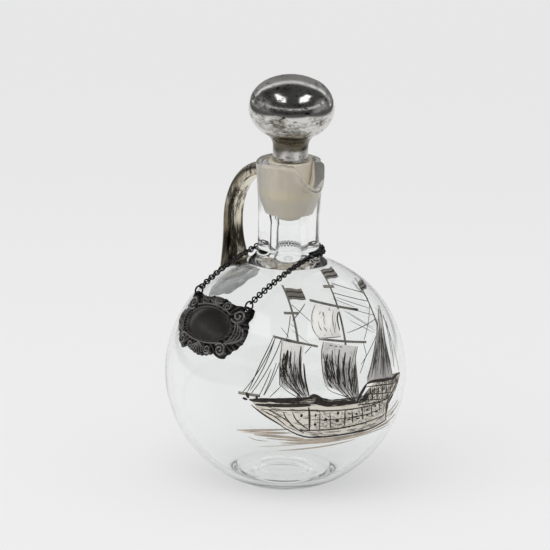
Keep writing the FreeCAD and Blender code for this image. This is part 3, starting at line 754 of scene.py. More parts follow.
def oxidised_silver(finish, name, depth, chased=False):
    """Near-black silver; on chased work the hollows stay darkest and the raised edges are rubbed."""
    material, tree, shader = new_material(name)
    if tree:
        wear = group_node(tree, wear_group(), Stretch=(1, 1, 1), Film=0.5, Gloss=0.14, Haze=0.16)
        tone = mix(tree, wear.outputs["Film"], toned(finish.oxide, depth), toned(finish.oxide, 1.9 * depth))
        if chased:
            relief = add(tree, "ShaderNodeAttribute", attribute_name="relief").outputs["Fac"]
            tone = mix(tree, climb(tree, relief, 0.45, 0.05), tone, toned(finish.oxide, 0.15))
            tone = mix(tree, math_node(tree, "MULTIPLY", climb(tree, relief, 0.66, 0.98), 0.8), tone, finish.rubbed)
        dress(tree, shader, tone, wear.outputs["Roughness"], 0.8)
        bump(tree, shader, wear.outputs["Height"], 0.3, 0.0003)
    return material


def engraved_dark(finish):
    """Dark residue in engraved lines."""
    material, tree, shader = new_material("engraved_dark")
    if tree:
        grain = group_node(tree, speckle_group(), Scale=500.0, Grain=0.3, Base=0.35)
        tone = mix(tree, grain.outputs["Height"], toned(finish.engraved, 0.5), toned(finish.engraved, 2.2))
        dress(tree, shader, tone, grain.outputs["Roughness"], 0.5)
    return material


def sea_stain(finish):
    """Thin worn silver of the sea lines, stained brown."""
    material, tree, shader = new_material("sea_stain")
    if tree:
        wear = group_node(tree, wear_group(), Stretch=(1, 1, 3), Film=0.75, Gloss=0.25, Haze=0.2)
        tone = mix(tree, wear.outputs["Film"], toned(finish.sepia, 1.45), finish.sepia)
        dress(tree, shader, tone, wear.outputs["Roughness"], 0.3)
    return material


# Vessel

SOCKET_EASE = 0.7 * MM
FLOOR_EASE = 4.5 * MM
# Soft rings in the floor, as shares of its radius
FLOOR_RING_PLACES = (0.90, 0.55)
FLOOR_RING_SPREAD = 0.05
# Places and spreads round the rim, in radians from the tip of the lip
LIP_SPREAD = 0.42
PINCH_PLACE, PINCH_SPREAD = 0.98, 0.26
CURL_PLACE, CURL_SPREAD = 0.56, 0.15


def globe_centre(v):
    """Height of the globe's middle over the table."""
    return math.sqrt(v.globe_radius ** 2 - v.foot_radius ** 2)


def hump(value, place, spread):
    """A soft hump of height 1 at a place."""
    return np.exp(-((value - place) / spread) ** 2)


def vessel_profile(v):
    """Half section of the glass from the push-up round the outside, over the rim and back to the floor."""
    centre = globe_centre(v)
    kick = (v.kick_radius ** 2 + v.kick_height ** 2) / (2 * v.kick_height)
    kick_turn = math.asin(v.kick_radius / kick)
    edge = math.sqrt((v.globe_radius - v.foot_round) ** 2 - (centre - v.foot_round) ** 2)
    foot_turn = math.atan2(v.foot_round - centre, edge)
    reach = v.neck_radius + v.shoulder_radius
    rise = math.sqrt((v.globe_radius + v.shoulder_radius) ** 2 - reach ** 2)
    shoulder_turn = math.atan2(rise, reach)
    rim = RIM_LEVEL
    outside = [(0.0, v.kick_height)]
    outside += arc(0, v.kick_height - kick, kick, math.pi / 2, math.pi / 2 - kick_turn, 14)[1:]
    outside += run((v.kick_radius, 0), (edge, 0), 4)
    outside += arc(edge, v.foot_round, v.foot_round, -math.pi / 2, foot_turn, 10)
    outside += arc(0, centre, v.globe_radius, foot_turn, shoulder_turn, 84)[1:]
    outside += arc(reach, centre + rise, v.shoulder_radius, math.pi + shoulder_turn, math.pi, 22)[1:]
    flare = rim - v.rim_flare
    outside += run((v.neck_radius, centre + rise), (v.neck_radius, flare), 8)
    for t in np.linspace(0, 1, 26):
        outside.append((v.neck_radius + (v.rim_radius - v.neck_radius) * t ** FLARE_CURVE,
                        flare + (v.rim_flare - v.rim_round) * t))
    outside += arc(v.rim_radius - v.rim_round, rim - v.rim_round, v.rim_round, 0, math.pi / 2, 12)[1:]
    outside += run((v.rim_radius - v.rim_round, rim), (v.socket_radius + SOCKET_EASE, rim), 6)
    inside = arc(v.socket_radius + SOCKET_EASE, rim - SOCKET_EASE, SOCKET_EASE, math.pi / 2, math.pi, 6)
    inside += run((v.socket_radius, rim - SOCKET_EASE), (v.socket_foot, rim - v.socket_depth), 26)
    low = rim - v.socket_depth - v.throat_length
    for t in np.linspace(0, 1, 18):
        inside.append((v.socket_foot + (v.bore_radius - v.socket_foot) * (0.6 * t + 0.4 * t * t * (3 - 2 * t)),
                       rim - v.socket_depth + (low - rim + v.socket_depth) * t))
    hollow = v.globe_radius - v.globe_wall
    bore_reach = v.bore_radius + v.bore_round
    bore_rise = math.sqrt((hollow + v.bore_round) ** 2 - bore_reach ** 2)
    bore_turn = math.atan2(bore_rise, bore_reach)
    inside += run((v.bore_radius, low), (v.bore_radius, centre + bore_rise), 8)
    inside += arc(bore_reach, centre + bore_rise, v.bore_round, math.pi, math.pi + bore_turn, 18)
    floor_turn = math.asin((v.floor_level + FLOOR_EASE - centre) / (hollow - FLOOR_EASE))
    inside += arc(0, centre, hollow, bore_turn, floor_turn, 84)[1:]
    corner = (hollow - FLOOR_EASE) * math.cos(floor_turn)
    inside += arc(corner, v.floor_level + FLOOR_EASE, FLOOR_EASE, floor_turn, -math.pi / 2, 12)[1:]
    for t in np.linspace(1, 0, 60)[1:]:
        rings = sum(hump(t, place, FLOOR_RING_SPREAD) for place in FLOOR_RING_PLACES)
        inside.append((corner * t, v.floor_level + v.floor_crown * (1 - t * t) + v.floor_ring * rings))
    return outside, inside


def pull_lip(points, count_outside, v):
    """Bend the wall out and down into a pouring lip at the rim, towards +X."""
    radius = np.hypot(points[:, 0], points[:, 1])
    turn = np.arctan2(points[:, 1], points[:, 0])
    level = points[:, 2]
    outer = np.arange(len(points)) < count_outside
    rise = smoothstep(level, RIM_LEVEL - v.lip_depth, RIM_LEVEL)
    wide = hump(turn, 0.0, LIP_SPREAD)
    pinch = hump(np.abs(turn), PINCH_PLACE, PINCH_SPREAD)
    curl = hump(np.abs(turn), CURL_PLACE, CURL_SPREAD)
    push = rise * ((v.lip_reach - v.rim_radius) * wide - np.where(outer, v.lip_pinch * pinch, 0.0))
    fall = (v.lip_curl * curl - v.lip_drop * wide) * rise ** 1.5
    scale = (radius + push) / np.maximum(radius, 1e-9)
    touched = level > RIM_LEVEL - v.lip_depth
    points[touched, 0] *= scale[touched]
    points[touched, 1] *= scale[touched]
    points[touched, 2] += fall[touched]
    return points


class EWER_OT_vessel(bpy.types.Operator):
    """Blow the globe, neck and pouring lip in clear glass"""

    bl_idname = "ewer.vessel"
    bl_label = "Vessel"

    def execute(self, context):
        ewer = context.scene.ewer
        v = ewer.vessel
        outside, inside = vessel_profile(v)
        points, faces = turned(outside + inside, ewer.round_steps)
        count = 1 + (len(outside) - 1) * ewer.round_steps
        first = np.array([min(face) for face in faces])
        # Outer faces near the rim take the rim glass with its painted reflection of the socket
        rim = (first < count) & (points[first, 2] > RIM_LEVEL - 1.2 * v.rim_round)
        points = pull_lip(points, count, v)
        level = points[first, 2]
        ground = (first >= count) & (level > RIM_LEVEL - v.socket_depth - v.frost_below)
        finishes = [clear_glass(ewer.finish), socket_glass(ewer.finish), painted_reflection_rim_glass(ewer.finish)]
        piece("blown_glass", points, faces, finishes, "vessel", "clear_glass", ["glass_body"], marks=ground + 2 * rim)
        return {"FINISHED"}


# Stopper

# Height over the rim from which the tarnish of the stopper is measured, and its (millimetres up, film)
TARNISH_FOOT = 6 * MM
STOPPER_BANDS = (
    (0, 0.6), (2.5, 0.15), (5, 0.25), (7, 0.95), (13.5, 0.95), (16, 0.25), (26, 0.18), (40, 0.05), (44, 0.3), (50, 0.4),
)
STOPPER_STAIN = (0.10, 0.085, 0.058)
PLUG_EASE = 0.5 * MM


def knob_profile(s, skin):
    """Half section of the shank and ball, shrunk by a skin."""
    ball = RIM_LEVEL + s.ball_rise
    side = s.side_radius - skin
    inset = s.ball_radius - s.side_radius
    crease = ball - math.sqrt(side ** 2 - (s.crease_radius - inset) ** 2)
    flare = s.flare_radius + skin
    hub = s.shank_radius + s.flare_radius
    shank_top = crease - math.sqrt(flare ** 2 - (hub - s.crease_radius) ** 2)
    flare_turn = math.acos((hub - s.crease_radius) / flare)
    side_turn = -math.acos((s.crease_radius - inset) / side)
    cap = side + inset / math.cos(s.cap_angle)
    points = run((s.shank_radius - skin, RIM_LEVEL), (s.shank_radius - skin, shank_top), 6)
    points += arc(hub, shank_top, flare, math.pi, math.pi - flare_turn, 16)
    points += arc(inset, ball, side, side_turn, s.cap_angle, 56)
    points += arc(0, ball - inset * math.tan(s.cap_angle), cap, s.cap_angle, math.pi / 2, 24)[1:-1]
    top = ball - inset * math.tan(s.cap_angle) + cap
    return points + [(0.0, top)]


class EWER_OT_stopper(bpy.types.Operator):
    """Grind the plug and lay silver over the shank and ball"""

    bl_idname = "ewer.stopper"
    bl_label = "Stopper"

    def execute(self, context):
        ewer = context.scene.ewer
        s, v = ewer.stopper, ewer.vessel
        foot = RIM_LEVEL - s.plug_length
        plug = [(0.0, foot)]
        plug += run((0, foot), (s.plug_tip - s.plug_round, foot), 4)
        plug += arc(s.plug_tip - s.plug_round, foot + s.plug_round, s.plug_round, -math.pi / 2, 0, 14)
        plug += run((s.plug_tip, foot + s.plug_round), (v.socket_foot - 2 * s.plug_gap, RIM_LEVEL - v.socket_depth), 8)
        low, high = v.socket_foot - s.plug_gap, v.socket_radius - s.plug_gap
        plug.append((low, RIM_LEVEL - v.socket_depth))
        plug += run((low, RIM_LEVEL - v.socket_depth), (high, RIM_LEVEL), 20)
        plug += [(high, RIM_LEVEL - PLUG_EASE), (high - PLUG_EASE, RIM_LEVEL)]
        plug.append((s.shank_radius - s.skin, RIM_LEVEL))
        points, faces = turned(plug + knob_profile(s, s.skin), ewer.round_steps)
        piece("ground_plug", points, faces, [ground_glass(ewer.finish)], "stopper", "ground_glass", ["stopper_glass"])
        outer, inner = knob_profile(s, 0.0), knob_profile(s, s.skin)
        points, faces = merged([turned([(s.shank_radius, RIM_LEVEL)] + outer, ewer.round_steps),
                                turned(inner[::-1], ewer.round_steps)])
        base = RIM_LEVEL + TARNISH_FOOT
        silvered = silver("stopper_silver", ewer.finish, film=0.62, gloss=0.03, haze=0.20, stretch=(1.0, 1.0, 2.2),
                          stain=STOPPER_STAIN, pits=0.60, bands=[(base + up * MM, film) for up, film in STOPPER_BANDS])
        piece("silvered_ball", points, faces, [silvered], "stopper", "silver_overlay", ["stopper_silver_overlay"])
        return {"FINISHED"}


# Handle

# Power that rounds the corners of the handle's section
HANDLE_BULGE = 3.2
LOOP_FACETS = 72
CORE_FACETS = 48
# Height of the silver leaf over the glass
LEAF_LIFT = 0.35 * MM


def bulged(wave):
    """A sine or cosine swollen towards a rounded square."""
    return np.sign(wave) * np.abs(wave) ** (2 / HANDLE_BULGE)


def handle_sections(h, v, skin):
    """Centre, way, half thickness and half width of the handle from neck to shoulder."""
    centre = globe_centre(v)
    start, reach = v.neck_radius, h.reach - h.strap_thickness / 2
    top = RIM_LEVEL - h.drop - h.crown_thickness / 2
    foot = reach - (h.root_thickness - h.strap_thickness) / 2
    landing = centre + math.sqrt(v.globe_radius ** 2 - foot ** 2)
    crown, strap = (h.crown_thickness / 2, h.crown_width / 2), (h.strap_thickness / 2, h.strap_width / 2)
    root = (h.root_thickness / 2, h.root_width / 2)
    sections = []

    def put(x, z, way_x, way_z, near, far, t):
        """Add a section whose size lies between two others."""
        norm = math.hypot(way_x, way_z)
        half = [a + (b - a) * t - skin for a, b in zip(near, far)]
        sections.append((x, z, way_x / norm, way_z / norm, *half))

    put(-start + 0.6 * MM, top, -1, 0, crown, crown, 0)
    for t in np.linspace(0, 1, 34):
        a = math.pi / 2 * t
        put(-start - (reach - start) * math.sin(a), top - h.bend_height * (1 - math.cos(a)),
            -(reach - start) * math.cos(a), -h.bend_height * math.sin(a), crown, strap, t)
    elbow = top - h.bend_height
    for t in np.linspace(0, 1, 26)[1:]:
        put(-reach + (reach - foot) * t ** 2, elbow + (landing - elbow) * t, 0.25 * t, -1, strap, root, t ** 2.2)
    return sections


def handle_tube(h, v, skin, around):
    """The loop as rings, with its foot laid on the globe."""
    centre = globe_centre(v)
    turn = np.linspace(0, math.tau, around, endpoint=False)
    across, along = bulged(np.cos(turn)), bulged(np.sin(turn))
    rings = []
    for x, z, way_x, way_z, thick, wide in handle_sections(h, v, skin):
        out_x, out_z = way_z, -way_x
        side = np.stack([along * thick * out_x, across * wide, along * thick * out_z], 1)
        rings.append(np.array([x, 0, z]) + side)
    last = rings[-1] - np.array([0, 0, centre])
    flat = np.hypot(last[:, 0], last[:, 1])
    last[:, 2] = np.sqrt(np.maximum((v.globe_radius + 0.02 * MM) ** 2 - flat ** 2, 0))
    rings[-1] = last + np.array([0, 0, centre])
    return rings


class EWER_OT_handle(bpy.types.Operator):
    """Draw the handle from the neck to the shoulder and silver it"""

    bl_idname = "ewer.handle"
    bl_label = "Handle"

    def execute(self, context):
        ewer = context.scene.ewer
        h, v, skin = ewer.handle, ewer.vessel, ewer.stopper.skin
        centre = globe_centre(v)
        loop = lofted([ring[::-1] for ring in handle_tube(h, v, 0.0, LOOP_FACETS)])
        web = lofted(self.web(h, v))
        pad = self.pad(h, v, centre)
        points, faces = merged([loop, web, pad])
        under = len(loop[1]) + len(web[1]) + len(pad[1]) // 2
        marks = [1 if k >= under else 0 for k in range(len(faces))]
        finishes = [handle_silver(ewer.finish), backing_silver(ewer.finish)]
        item = piece("silvered_handle", points, faces, finishes, "vessel", "silver_overlay", ["handle_silver_overlay"],
                     marks=marks)
        turn = np.linspace(0, math.tau, LOOP_FACETS, endpoint=False)[::-1]
        facing = np.zeros(len(points), np.float32)
        rows = len(loop[0]) // LOOP_FACETS
        facing[:rows * LOOP_FACETS] = np.tile(-bulged(np.sin(turn)), rows)
        item.data.attributes.new("inner", "FLOAT", "POINT").data.foreach_set("value", facing)
        core = lofted([ring[::-1] for ring in handle_tube(h, v, skin, CORE_FACETS)[1:-1]])
        piece("handle_core", *core, [backing_silver(ewer.finish)], "vessel", "clear_glass", ["handle_glass_core"])
        return {"FINISHED"}

    def web(self, h, v):
        """Rings of the tongue that runs down the neck under the handle's crown."""
        top = RIM_LEVEL - h.drop - h.crown_thickness / 2
        turn = np.linspace(0, math.tau, CORE_FACETS, endpoint=False)
        rings = []
        for t in np.linspace(0, 1, 22):
            level = top - 2 * h.tail_length * t
            deep = 2.2 * h.tail_thickness * (1 - t) ** 1.9 + 0.25 * h.tail_thickness * math.sqrt(max(1 - t, 0.002))
            wide = 0.5 * h.crown_width * (1 - t ** 3) * 0.95 + 0.3 * MM
            across = wide * np.cos(turn)
            skirt = np.sqrt(v.neck_radius ** 2 - across ** 2) + LEAF_SEAT + self.flare(level, v)
            out = skirt + deep * np.maximum(np.sin(turn), 0)
            rings.append(np.stack([-out, across, np.full(len(turn), level)], 1))
        return rings

    def flare(self, level, v):
        """How far the neck has widened at a level."""
        t = np.clip((level - RIM_LEVEL + v.rim_flare) / (v.rim_flare - v.rim_round), 0, 1)
        return (v.rim_radius - v.neck_radius) * t ** FLARE_CURVE

    def pad(self, h, v, centre):
        """Thin leaf of silver under the handle's foot, front faces first."""
        foot = h.reach - h.strap_thickness / 2 - (h.root_thickness - h.strap_thickness) / 2
        tilt = math.acos(foot / v.globe_radius) - h.pad_drop
        out = np.array([-math.cos(tilt), 0, math.sin(tilt)])
        up, side = np.array([math.sin(tilt), 0, math.cos(tilt)]), np.array([0, 1, 0])
        turn = np.linspace(0, math.tau, 120, endpoint=False)
        edge = 1 + 0.05 * np.sin(turn * 5 + 0.7) + 0.03 * np.sin(turn * 11 + 2.0)
        ratios = np.linspace(0, 1, 16)[1:]
        layers = []
        for lift in (LEAF_LIFT, LEAF_SEAT):
            spots = [np.array([[0.0, 0.0]])]
            spots += [np.stack([h.pad_width / 2 * r * edge * np.cos(turn),
                                h.pad_height / 2 * r * edge * np.sin(turn)], 1) for r in ratios]
            flat = np.concatenate(spots)
            fade = np.concatenate([[0.0], np.repeat(ratios, len(turn))])
            height = v.globe_radius + np.maximum(lift * (1 - fade ** 6), LEAF_SEAT)
            depth = np.sqrt(height ** 2 - (flat ** 2).sum(1))
            layers.append(np.array([0, 0, centre]) + np.outer(flat[:, 0], side) + np.outer(flat[:, 1], up)
                          + np.outer(depth, out))
        faces, count = [], len(turn)
        for shift, flip in ((0, -1), (len(layers[0]), 1)):
            for k in range(count):
                n = (k + 1) % count
                faces.append([shift, shift + 1 + k, shift + 1 + n][::flip])
                for row in range(len(ratios) - 1):
                    a = shift + 1 + row * count
                    faces.append([a + k, a + count + k, a + count + n, a + n][::flip])
        return np.concatenate(layers), faces


# Label

OUTLINE_SHARES = (
    (0.00, 0.92), (0.17, 0.92), (0.36, 0.84), (0.56, 0.86), (0.80, 0.92), (0.93, 0.80), (0.92, 0.48),
    (1.00, 0.12), (0.97, -0.28), (0.80, -0.62), (0.62, -0.90), (0.40, -0.84), (0.22, -0.94), (0.00, -1.00),
)


# Half width and half height of the plain middle, in millimetres
MIDDLE_HALVES = (15.8, 8.9)
# The bead round the middle, in shares of the middle's size
BEAD_PLACE, BEAD_SPREAD = 1.02, 0.045
BORDER_LEAVES = 44
LABEL_AROUND = 480
LABEL_RINGS = 96


def closed_curve(points, steps):
    """A smooth closed curve through points, as many steps between each pair."""
    spots = np.array(points)
    rolled = [np.roll(spots, k, 0) for k in (1, 0, -1, -2)]
    out = []
    for t in np.linspace(0, 1, steps, endpoint=False):
        weights = (-0.5 * t + t * t - 0.5 * t ** 3, 1 - 2.5 * t * t + 1.5 * t ** 3,
                   0.5 * t + 2 * t * t - 1.5 * t ** 3, -0.5 * t * t + 0.5 * t ** 3)
        out.append(sum(w * r for w, r in zip(weights, rolled)))
    return np.stack(out, 1).reshape(-1, 2)


def spiral(across, up, radius, inner, first, turns, steps=60):
    """A volute that winds in from a radius."""
    t = np.linspace(0, 1, steps)
    r = radius + (inner - radius) * t
    a = first + turns * math.tau * t
    return np.stack([across + r * np.cos(a), up + r * np.sin(a)], 1)


def bow(start, pull, end, steps=40):
    """A curve from start to end drawn towards pull."""
    t = np.linspace(0, 1, steps)[:, None]
    a, b, c = (np.array(p) for p in (start, pull, end))
    return (1 - t) ** 2 * a + 2 * t * (1 - t) * b + t ** 2 * c


def label_ridges():
    """Chased ridges of the border as (curve, half width, height), in millimetres."""
    ridges = []
    for step in range(BORDER_LEAVES):
        turn = math.tau * (step + 0.5) / BORDER_LEAVES
        lean = 0.16 * (1 if math.cos(turn) > 0 else -1) * (1 if step % 2 else -0.6)
        start = np.array([15.9 * math.cos(turn), 9.0 * math.sin(turn)])
        end = np.array([24.5 * math.cos(turn + lean), 16.5 * math.sin(turn + lean)])
        pull = (start + end) / 2 + 1.6 * np.array([-math.sin(turn), math.cos(turn)]) * (1 if step % 2 else -1)
        ridges.append((bow(start, pull, end), 0.62, 0.62))
    for side in (1, -1):
        flip = np.array([side, 1])
        ridges.append((spiral(17.4, 8.6, 3.9, 0.6, -2.4, 1.6) * flip, 0.8, 1.0))
        ridges.append((spiral(14.4, -10.9, 3.4, 0.6, 2.6, -1.6) * flip, 0.75, 1.0))
        ridges.append((spiral(8.4, 11.4, 2.6, 0.5, 3.4, -1.5) * flip, 0.6, 0.95))
        ridges.append((spiral(6.4, -12.8, 2.3, 0.5, -3.0, 1.5) * flip, 0.6, 0.95))
        for step in range(4):
            shift = 1.7 * step
            leaf = bow((17.2 + shift, 5.2 - 0.7 * step), (21.6 + shift, -1.2), (15.2 + shift, -8.2 + 0.9 * step))
            ridges.append((leaf * flip, 0.62, 0.95))
        ridges.append((bow((0, 10.2), (5.0, 10.6), (12.5, 8.2)) * flip, 0.7, 0.9))
        ridges.append((bow((0, -10.0), (5.5, -10.2), (12.0, -8.0)) * flip, 0.7, 0.9))
    for turn in np.linspace(-1.1, 1.1, 7):
        tip = np.array([math.sin(turn) * 5.0, 10.4 + math.cos(turn) * 4.6])
        ridges.append((bow((0, 10.2), (tip[0] * 0.7, 11.6), tip), 0.55, 1.0))
        tip = np.array([math.sin(turn) * 4.6, -10.0 - math.cos(turn) * 6.0])
        ridges.append((bow((0, -10.2), (tip[0] * 0.7, -12.4), tip), 0.55, 0.95))
    return ridges


def label_mesh(label, globe_radius):
    """Top, edge and back of the label in its own flat coordinates, laid on a sphere that follows the globe."""
    right = [np.array(p) for p in OUTLINE_SHARES]
    left = [np.array([-p[0], p[1]]) for p in right[-2:0:-1]]
    outline = closed_curve(right + left, 30) * np.array([label.half_width, label.half_height])
    turn = np.arctan2(outline[:, 1], outline[:, 0])
    order = np.argsort(turn)
    angles = np.linspace(-math.pi, math.pi, LABEL_AROUND, endpoint=False)
    edge = np.interp(angles, turn[order], np.hypot(*outline.T)[order], period=math.tau)
    edge *= 1 + 0.012 * np.sin(angles * 34) * (np.abs(np.sin(angles)) > 0.15)
    ratios = np.linspace(0, 1, LABEL_RINGS) ** 0.8
    flat = np.stack([np.outer(ratios, edge * wave(angles)) for wave in (np.cos, np.sin)], 2).reshape(-1, 2)
    unit = flat / MM
    inner = np.hypot(unit[:, 0] / MIDDLE_HALVES[0], unit[:, 1] / MIDDLE_HALVES[1])
    bead = hump(inner, BEAD_PLACE, BEAD_SPREAD)
    height = label.dome * (1 - np.clip(inner, 0, 1) ** 2.4)
    height += 0.55 * label.relief * bead
    border = smoothstep(inner, 1.0, 1.12)
    rise = np.zeros(len(unit))
    for curve, half_width, tall in label_ridges():
        gap = np.full(len(unit), 1e9)
        for spot in curve:
            gap = np.minimum(gap, (unit[:, 0] - spot[0]) ** 2 + (unit[:, 1] - spot[1]) ** 2)
        rise = np.maximum(rise, tall * np.sqrt(np.clip(1 - gap / half_width ** 2, 0, 1)))
    height += border * label.relief * (0.08 + 0.92 * rise)
    shade = np.where(border > 0.5, rise, 0.5)
    shade = np.maximum(shade, 0.8 * bead)
    ratio = np.repeat(ratios, LABEL_AROUND)
    height -= 0.6 * MM * smoothstep(ratio, 0.965, 1.0)
    back = np.full(len(flat), 0.0)
    for side in (1, -1):
        gap = np.hypot(flat[:, 0] - side * label.ear_across, flat[:, 1] - label.ear_up)
        near = 1 - smoothstep(gap, 1.9 * MM, 3.4 * MM)
        height = height * (1 - near) + near * label.relief
        back += near * (label.thickness + label.relief - label.ear_web)
    front = globe_radius + label.gap + label.thickness + height
    rear = globe_radius + label.gap + np.minimum(back, label.thickness + height - 0.3 * MM)
    return flat, front, rear, shade


def label_place(flat, radius, label, centre):
    """Points of the label's flat coordinates on spheres of the given radii, in the frame."""
    up = np.array([0, math.sin(label.latitude), math.cos(label.latitude)])
    out = np.array([0, -math.cos(label.latitude), math.sin(label.latitude)])
    depth = np.sqrt(radius ** 2 - flat[:, 0] ** 2 - (flat[:, 1] - label.lean) ** 2)
    return (np.array([0, 0, centre]) + np.outer(flat[:, 0], (1, 0, 0)) + np.outer(flat[:, 1], up)
            + np.outer(depth, out))


class EWER_OT_label(bpy.types.Operator):
    """Chase the label and hang it on its rings and chain"""

    bl_idname = "ewer.label"
    bl_label = "Label"

    def execute(self, context):
        ewer = context.scene.ewer
        label, v = ewer.label, ewer.vessel
        centre = globe_centre(v)
        flat, front, rear, shade = label_mesh(label, v.globe_radius)
        points = np.concatenate([label_place(flat, front, label, centre), label_place(flat, rear, label, centre)])
        faces = []
        rings, around = LABEL_RINGS, LABEL_AROUND
        shift = rings * around
        for row in range(rings - 1):
            for k in range(around):
                n = (k + 1) % around
                quad = [row * around + k, (row + 1) * around + k, (row + 1) * around + n, row * around + n]
                faces.append(quad)
                faces.append([shift + c for c in reversed(quad)])
        last = (rings - 1) * around
        for k in range(around):
            n = (k + 1) % around
            faces.append([last + k, shift + last + k, shift + last + n, last + n])
        chased = oxidised_silver(ewer.finish, "chased_silver", depth=0.8, chased=True)
        item = piece("chased_label", points, faces, [chased], "label", "dark_silver", ["label_plate"], sharp=1.2)
        relief = item.data.attributes.new("relief", "FLOAT", "POINT")
        relief.data.foreach_set("value", np.concatenate([shade, np.full(len(flat), 0.5)]).astype(np.float32))
        self.pierce(item, label, v, centre)
        return {"FINISHED"}

    def pierce(self, item, label, v, centre):
        """Weld the middle and drill the ear holes."""
        weld = item.modifiers.new("weld", "WELD")
        weld.merge_threshold = 0.005 * MM
        for side in (1, -1):
            spot = np.array([[side * label.ear_across, label.ear_up]])
            reach = v.globe_radius + label.gap + np.array([-4 * MM, 8 * MM])
            ends = [label_place(spot, np.array([r]), label, centre)[0] for r in reach]
            way = Vector(ends[1]) - Vector(ends[0])
            out = Vector((0, -math.cos(label.latitude), math.sin(label.latitude)))
            profile = [(0.0, 0.0), (label.ear_hole, 0.0), (label.ear_hole, way.length), (0.0, way.length)]
            spots, corners = turned(profile, 40)
            turn = out.to_track_quat("Z", "Y").to_matrix()
            spots = [Vector(ends[0]) + turn @ Vector(p) for p in spots]
            mesh = bpy.data.meshes.new("ear_drill")
            mesh.from_pydata(spots, [], corners)
            drill = bpy.data.objects.new("ear_drill", mesh)
            bpy.context.scene.collection.objects.link(drill)
            cut = item.modifiers.new("ear", "BOOLEAN")
            cut.operation, cut.solver, cut.object = "DIFFERENCE", "EXACT", drill
        bpy.context.view_layer.update()
        whole = bpy.data.meshes.new_from_object(item.evaluated_get(bpy.context.evaluated_depsgraph_get()))
        item.modifiers.clear()
        item.data = whole
        for drill in [o for o in bpy.data.objects if o.name.startswith("ear_drill")]:
            bpy.data.objects.remove(drill)


class EWER_OT_chain(bpy.types.Operator):
    """Finish the chain's links and the jump rings"""

    bl_idname = "ewer.chain"
    bl_label = "Chain"

    def execute(self, context):
        dark = oxidised_silver(context.scene.ewer.finish, "chain_silver", depth=0.25)
        for name in ("neck_chain", "jump_ring_left", "jump_ring_right"):
            node = frame["nodes"][name]
            node.data.materials.clear()
            node.data.materials.append(dark)
            node.data.polygons.foreach_set("use_smooth", np.ones(len(node.data.polygons), bool))
        return {"FINISHED"}


# Ship

# Seed of the random hatching
SHIP_SEED = 7
# Places on the ship are shares of its half length across, and of its height or depth up or down
HULL_LOW_SHARES = (
    (-1.00, 0.02), (-0.86, -0.40), (-0.66, -0.68), (-0.34, -1.00), (0.24, -1.08), (0.74, -0.92),
    (0.82, -0.44), (0.95, -0.08), (1.05, 0.10),
)
HULL_RAIL_SHARES = (
    (-1.00, 0.02), (-0.90, 0.03), (-0.25, 0.05), (-0.16, 0.01), (0.36, 0.01), (0.56, 0.13), (0.90, 0.12), (1.05, 0.10),
)
# Hatching of the hull as (strokes, first and last share along, upper and lower share down, reach along and down, width)
HULL_HATCHING = (
    (330, 0.02, 0.66, 0.00, 0.17, 0.070, 0.0, 1.9), (130, 0.60, 0.97, 0.02, 0.30, 0.030, 0.0, 1.2),
    (150, 0.60, 0.97, 0.02, 0.42, 0.0, 0.11, 1.2), (260, 0.34, 0.95, 0.34, 0.74, 0.0, 0.06, 0.6),
    (240, 0.34, 0.95, 0.32, 0.80, 0.022, 0.0, 0.6), (60, 0.06, 0.40, 0.16, 0.85, 0.050, 0.0, 0.7),
    (50, 0.20, 0.98, 0.86, 0.99, 0.060, 0.0, 1.2),
)
MAST_SHARES = {"fore": (-0.50, -0.38, 0.93), "main": (0.12, 0.20, 1.00), "mizzen": (0.78, 0.68, 0.89)}
MAST_TAPER_SHARE = 0.55
BOWSPRIT_SHARES = ((-0.90, 0.05), (-1.10, 0.06))
YARD_SHARES = (
    ((-0.69, 0.56), (-0.21, 0.48)), ((-0.50, 0.74), (-0.34, 0.74)), ((-0.15, 0.83), (0.47, 0.71)),
    ((-0.18, 0.54), (0.47, 0.46)), ((0.10, 0.91), (0.25, 0.90)),
)
SAIL_EDGE_SHARES = {
    "fore_course": (((-0.606, 0.536), (-0.655, 0.43), (-0.685, 0.312), (-0.701, 0.155)),
                    ((-0.365, 0.497), (-0.426, 0.378), (-0.43, 0.223), (-0.349, 0.041))),
    "main_course": (((-0.13, 0.515), (-0.18, 0.419), (-0.192, 0.265), (-0.168, 0.149)),
                    ((0.322, 0.442), (0.268, 0.33), (0.272, 0.137), (0.295, -0.068))),
    "main_topsail": (((-0.106, 0.805), (-0.19, 0.731), (-0.227, 0.64), (-0.167, 0.538)),
                     ((0.202, 0.741), (0.118, 0.688), (0.097, 0.611), (0.121, 0.537))),
    "mizzen_sail": (((0.854, 0.679), (0.667, 0.508), (0.55, 0.345), (0.41, 0.133)),
                    ((0.894, 0.67), (0.799, 0.444), (0.823, 0.263), (0.871, 0.095))),
}
SAIL_STREAKS = {"fore_course": 130, "main_course": 230, "main_topsail": 10, "mizzen_sail": 60}
SAIL_FILMS = {"fore_course": 0.54, "main_course": 0.54, "main_topsail": 0.36, "mizzen_sail": 0.72}
PENNANT_SHARES = ((-0.38, 0.91, 0.19, 0.075), (0.20, 1.00, 0.20, 0.055), (0.66, 0.86, 0.16, 0.050))
ROPE_SHARES = (
    ((-1.06, 0.07), (-0.67, 0.55)), ((-0.98, 0.07), (-0.61, 0.54)), ((-0.86, 0.06), (-0.44, 0.72)),
    ((-0.38, 0.80), (-0.16, 0.62)), ((0.20, 0.86), (0.69, 0.74)), ((0.70, 0.72), (0.44, 0.48)),
    ((0.74, 0.60), (0.42, 0.16)), ((0.88, 0.60), (1.02, 0.12)), ((0.24, 0.92), (0.68, 0.80)),
)
WAVE_SHARES = (
    ((-1.08, -0.95), (-0.56, -0.90)), ((-0.62, -1.28), (0.90, -1.08)), ((-0.64, -1.50), (0.30, -1.30)),
    ((0.86, -0.90), (1.07, -0.58)),
)

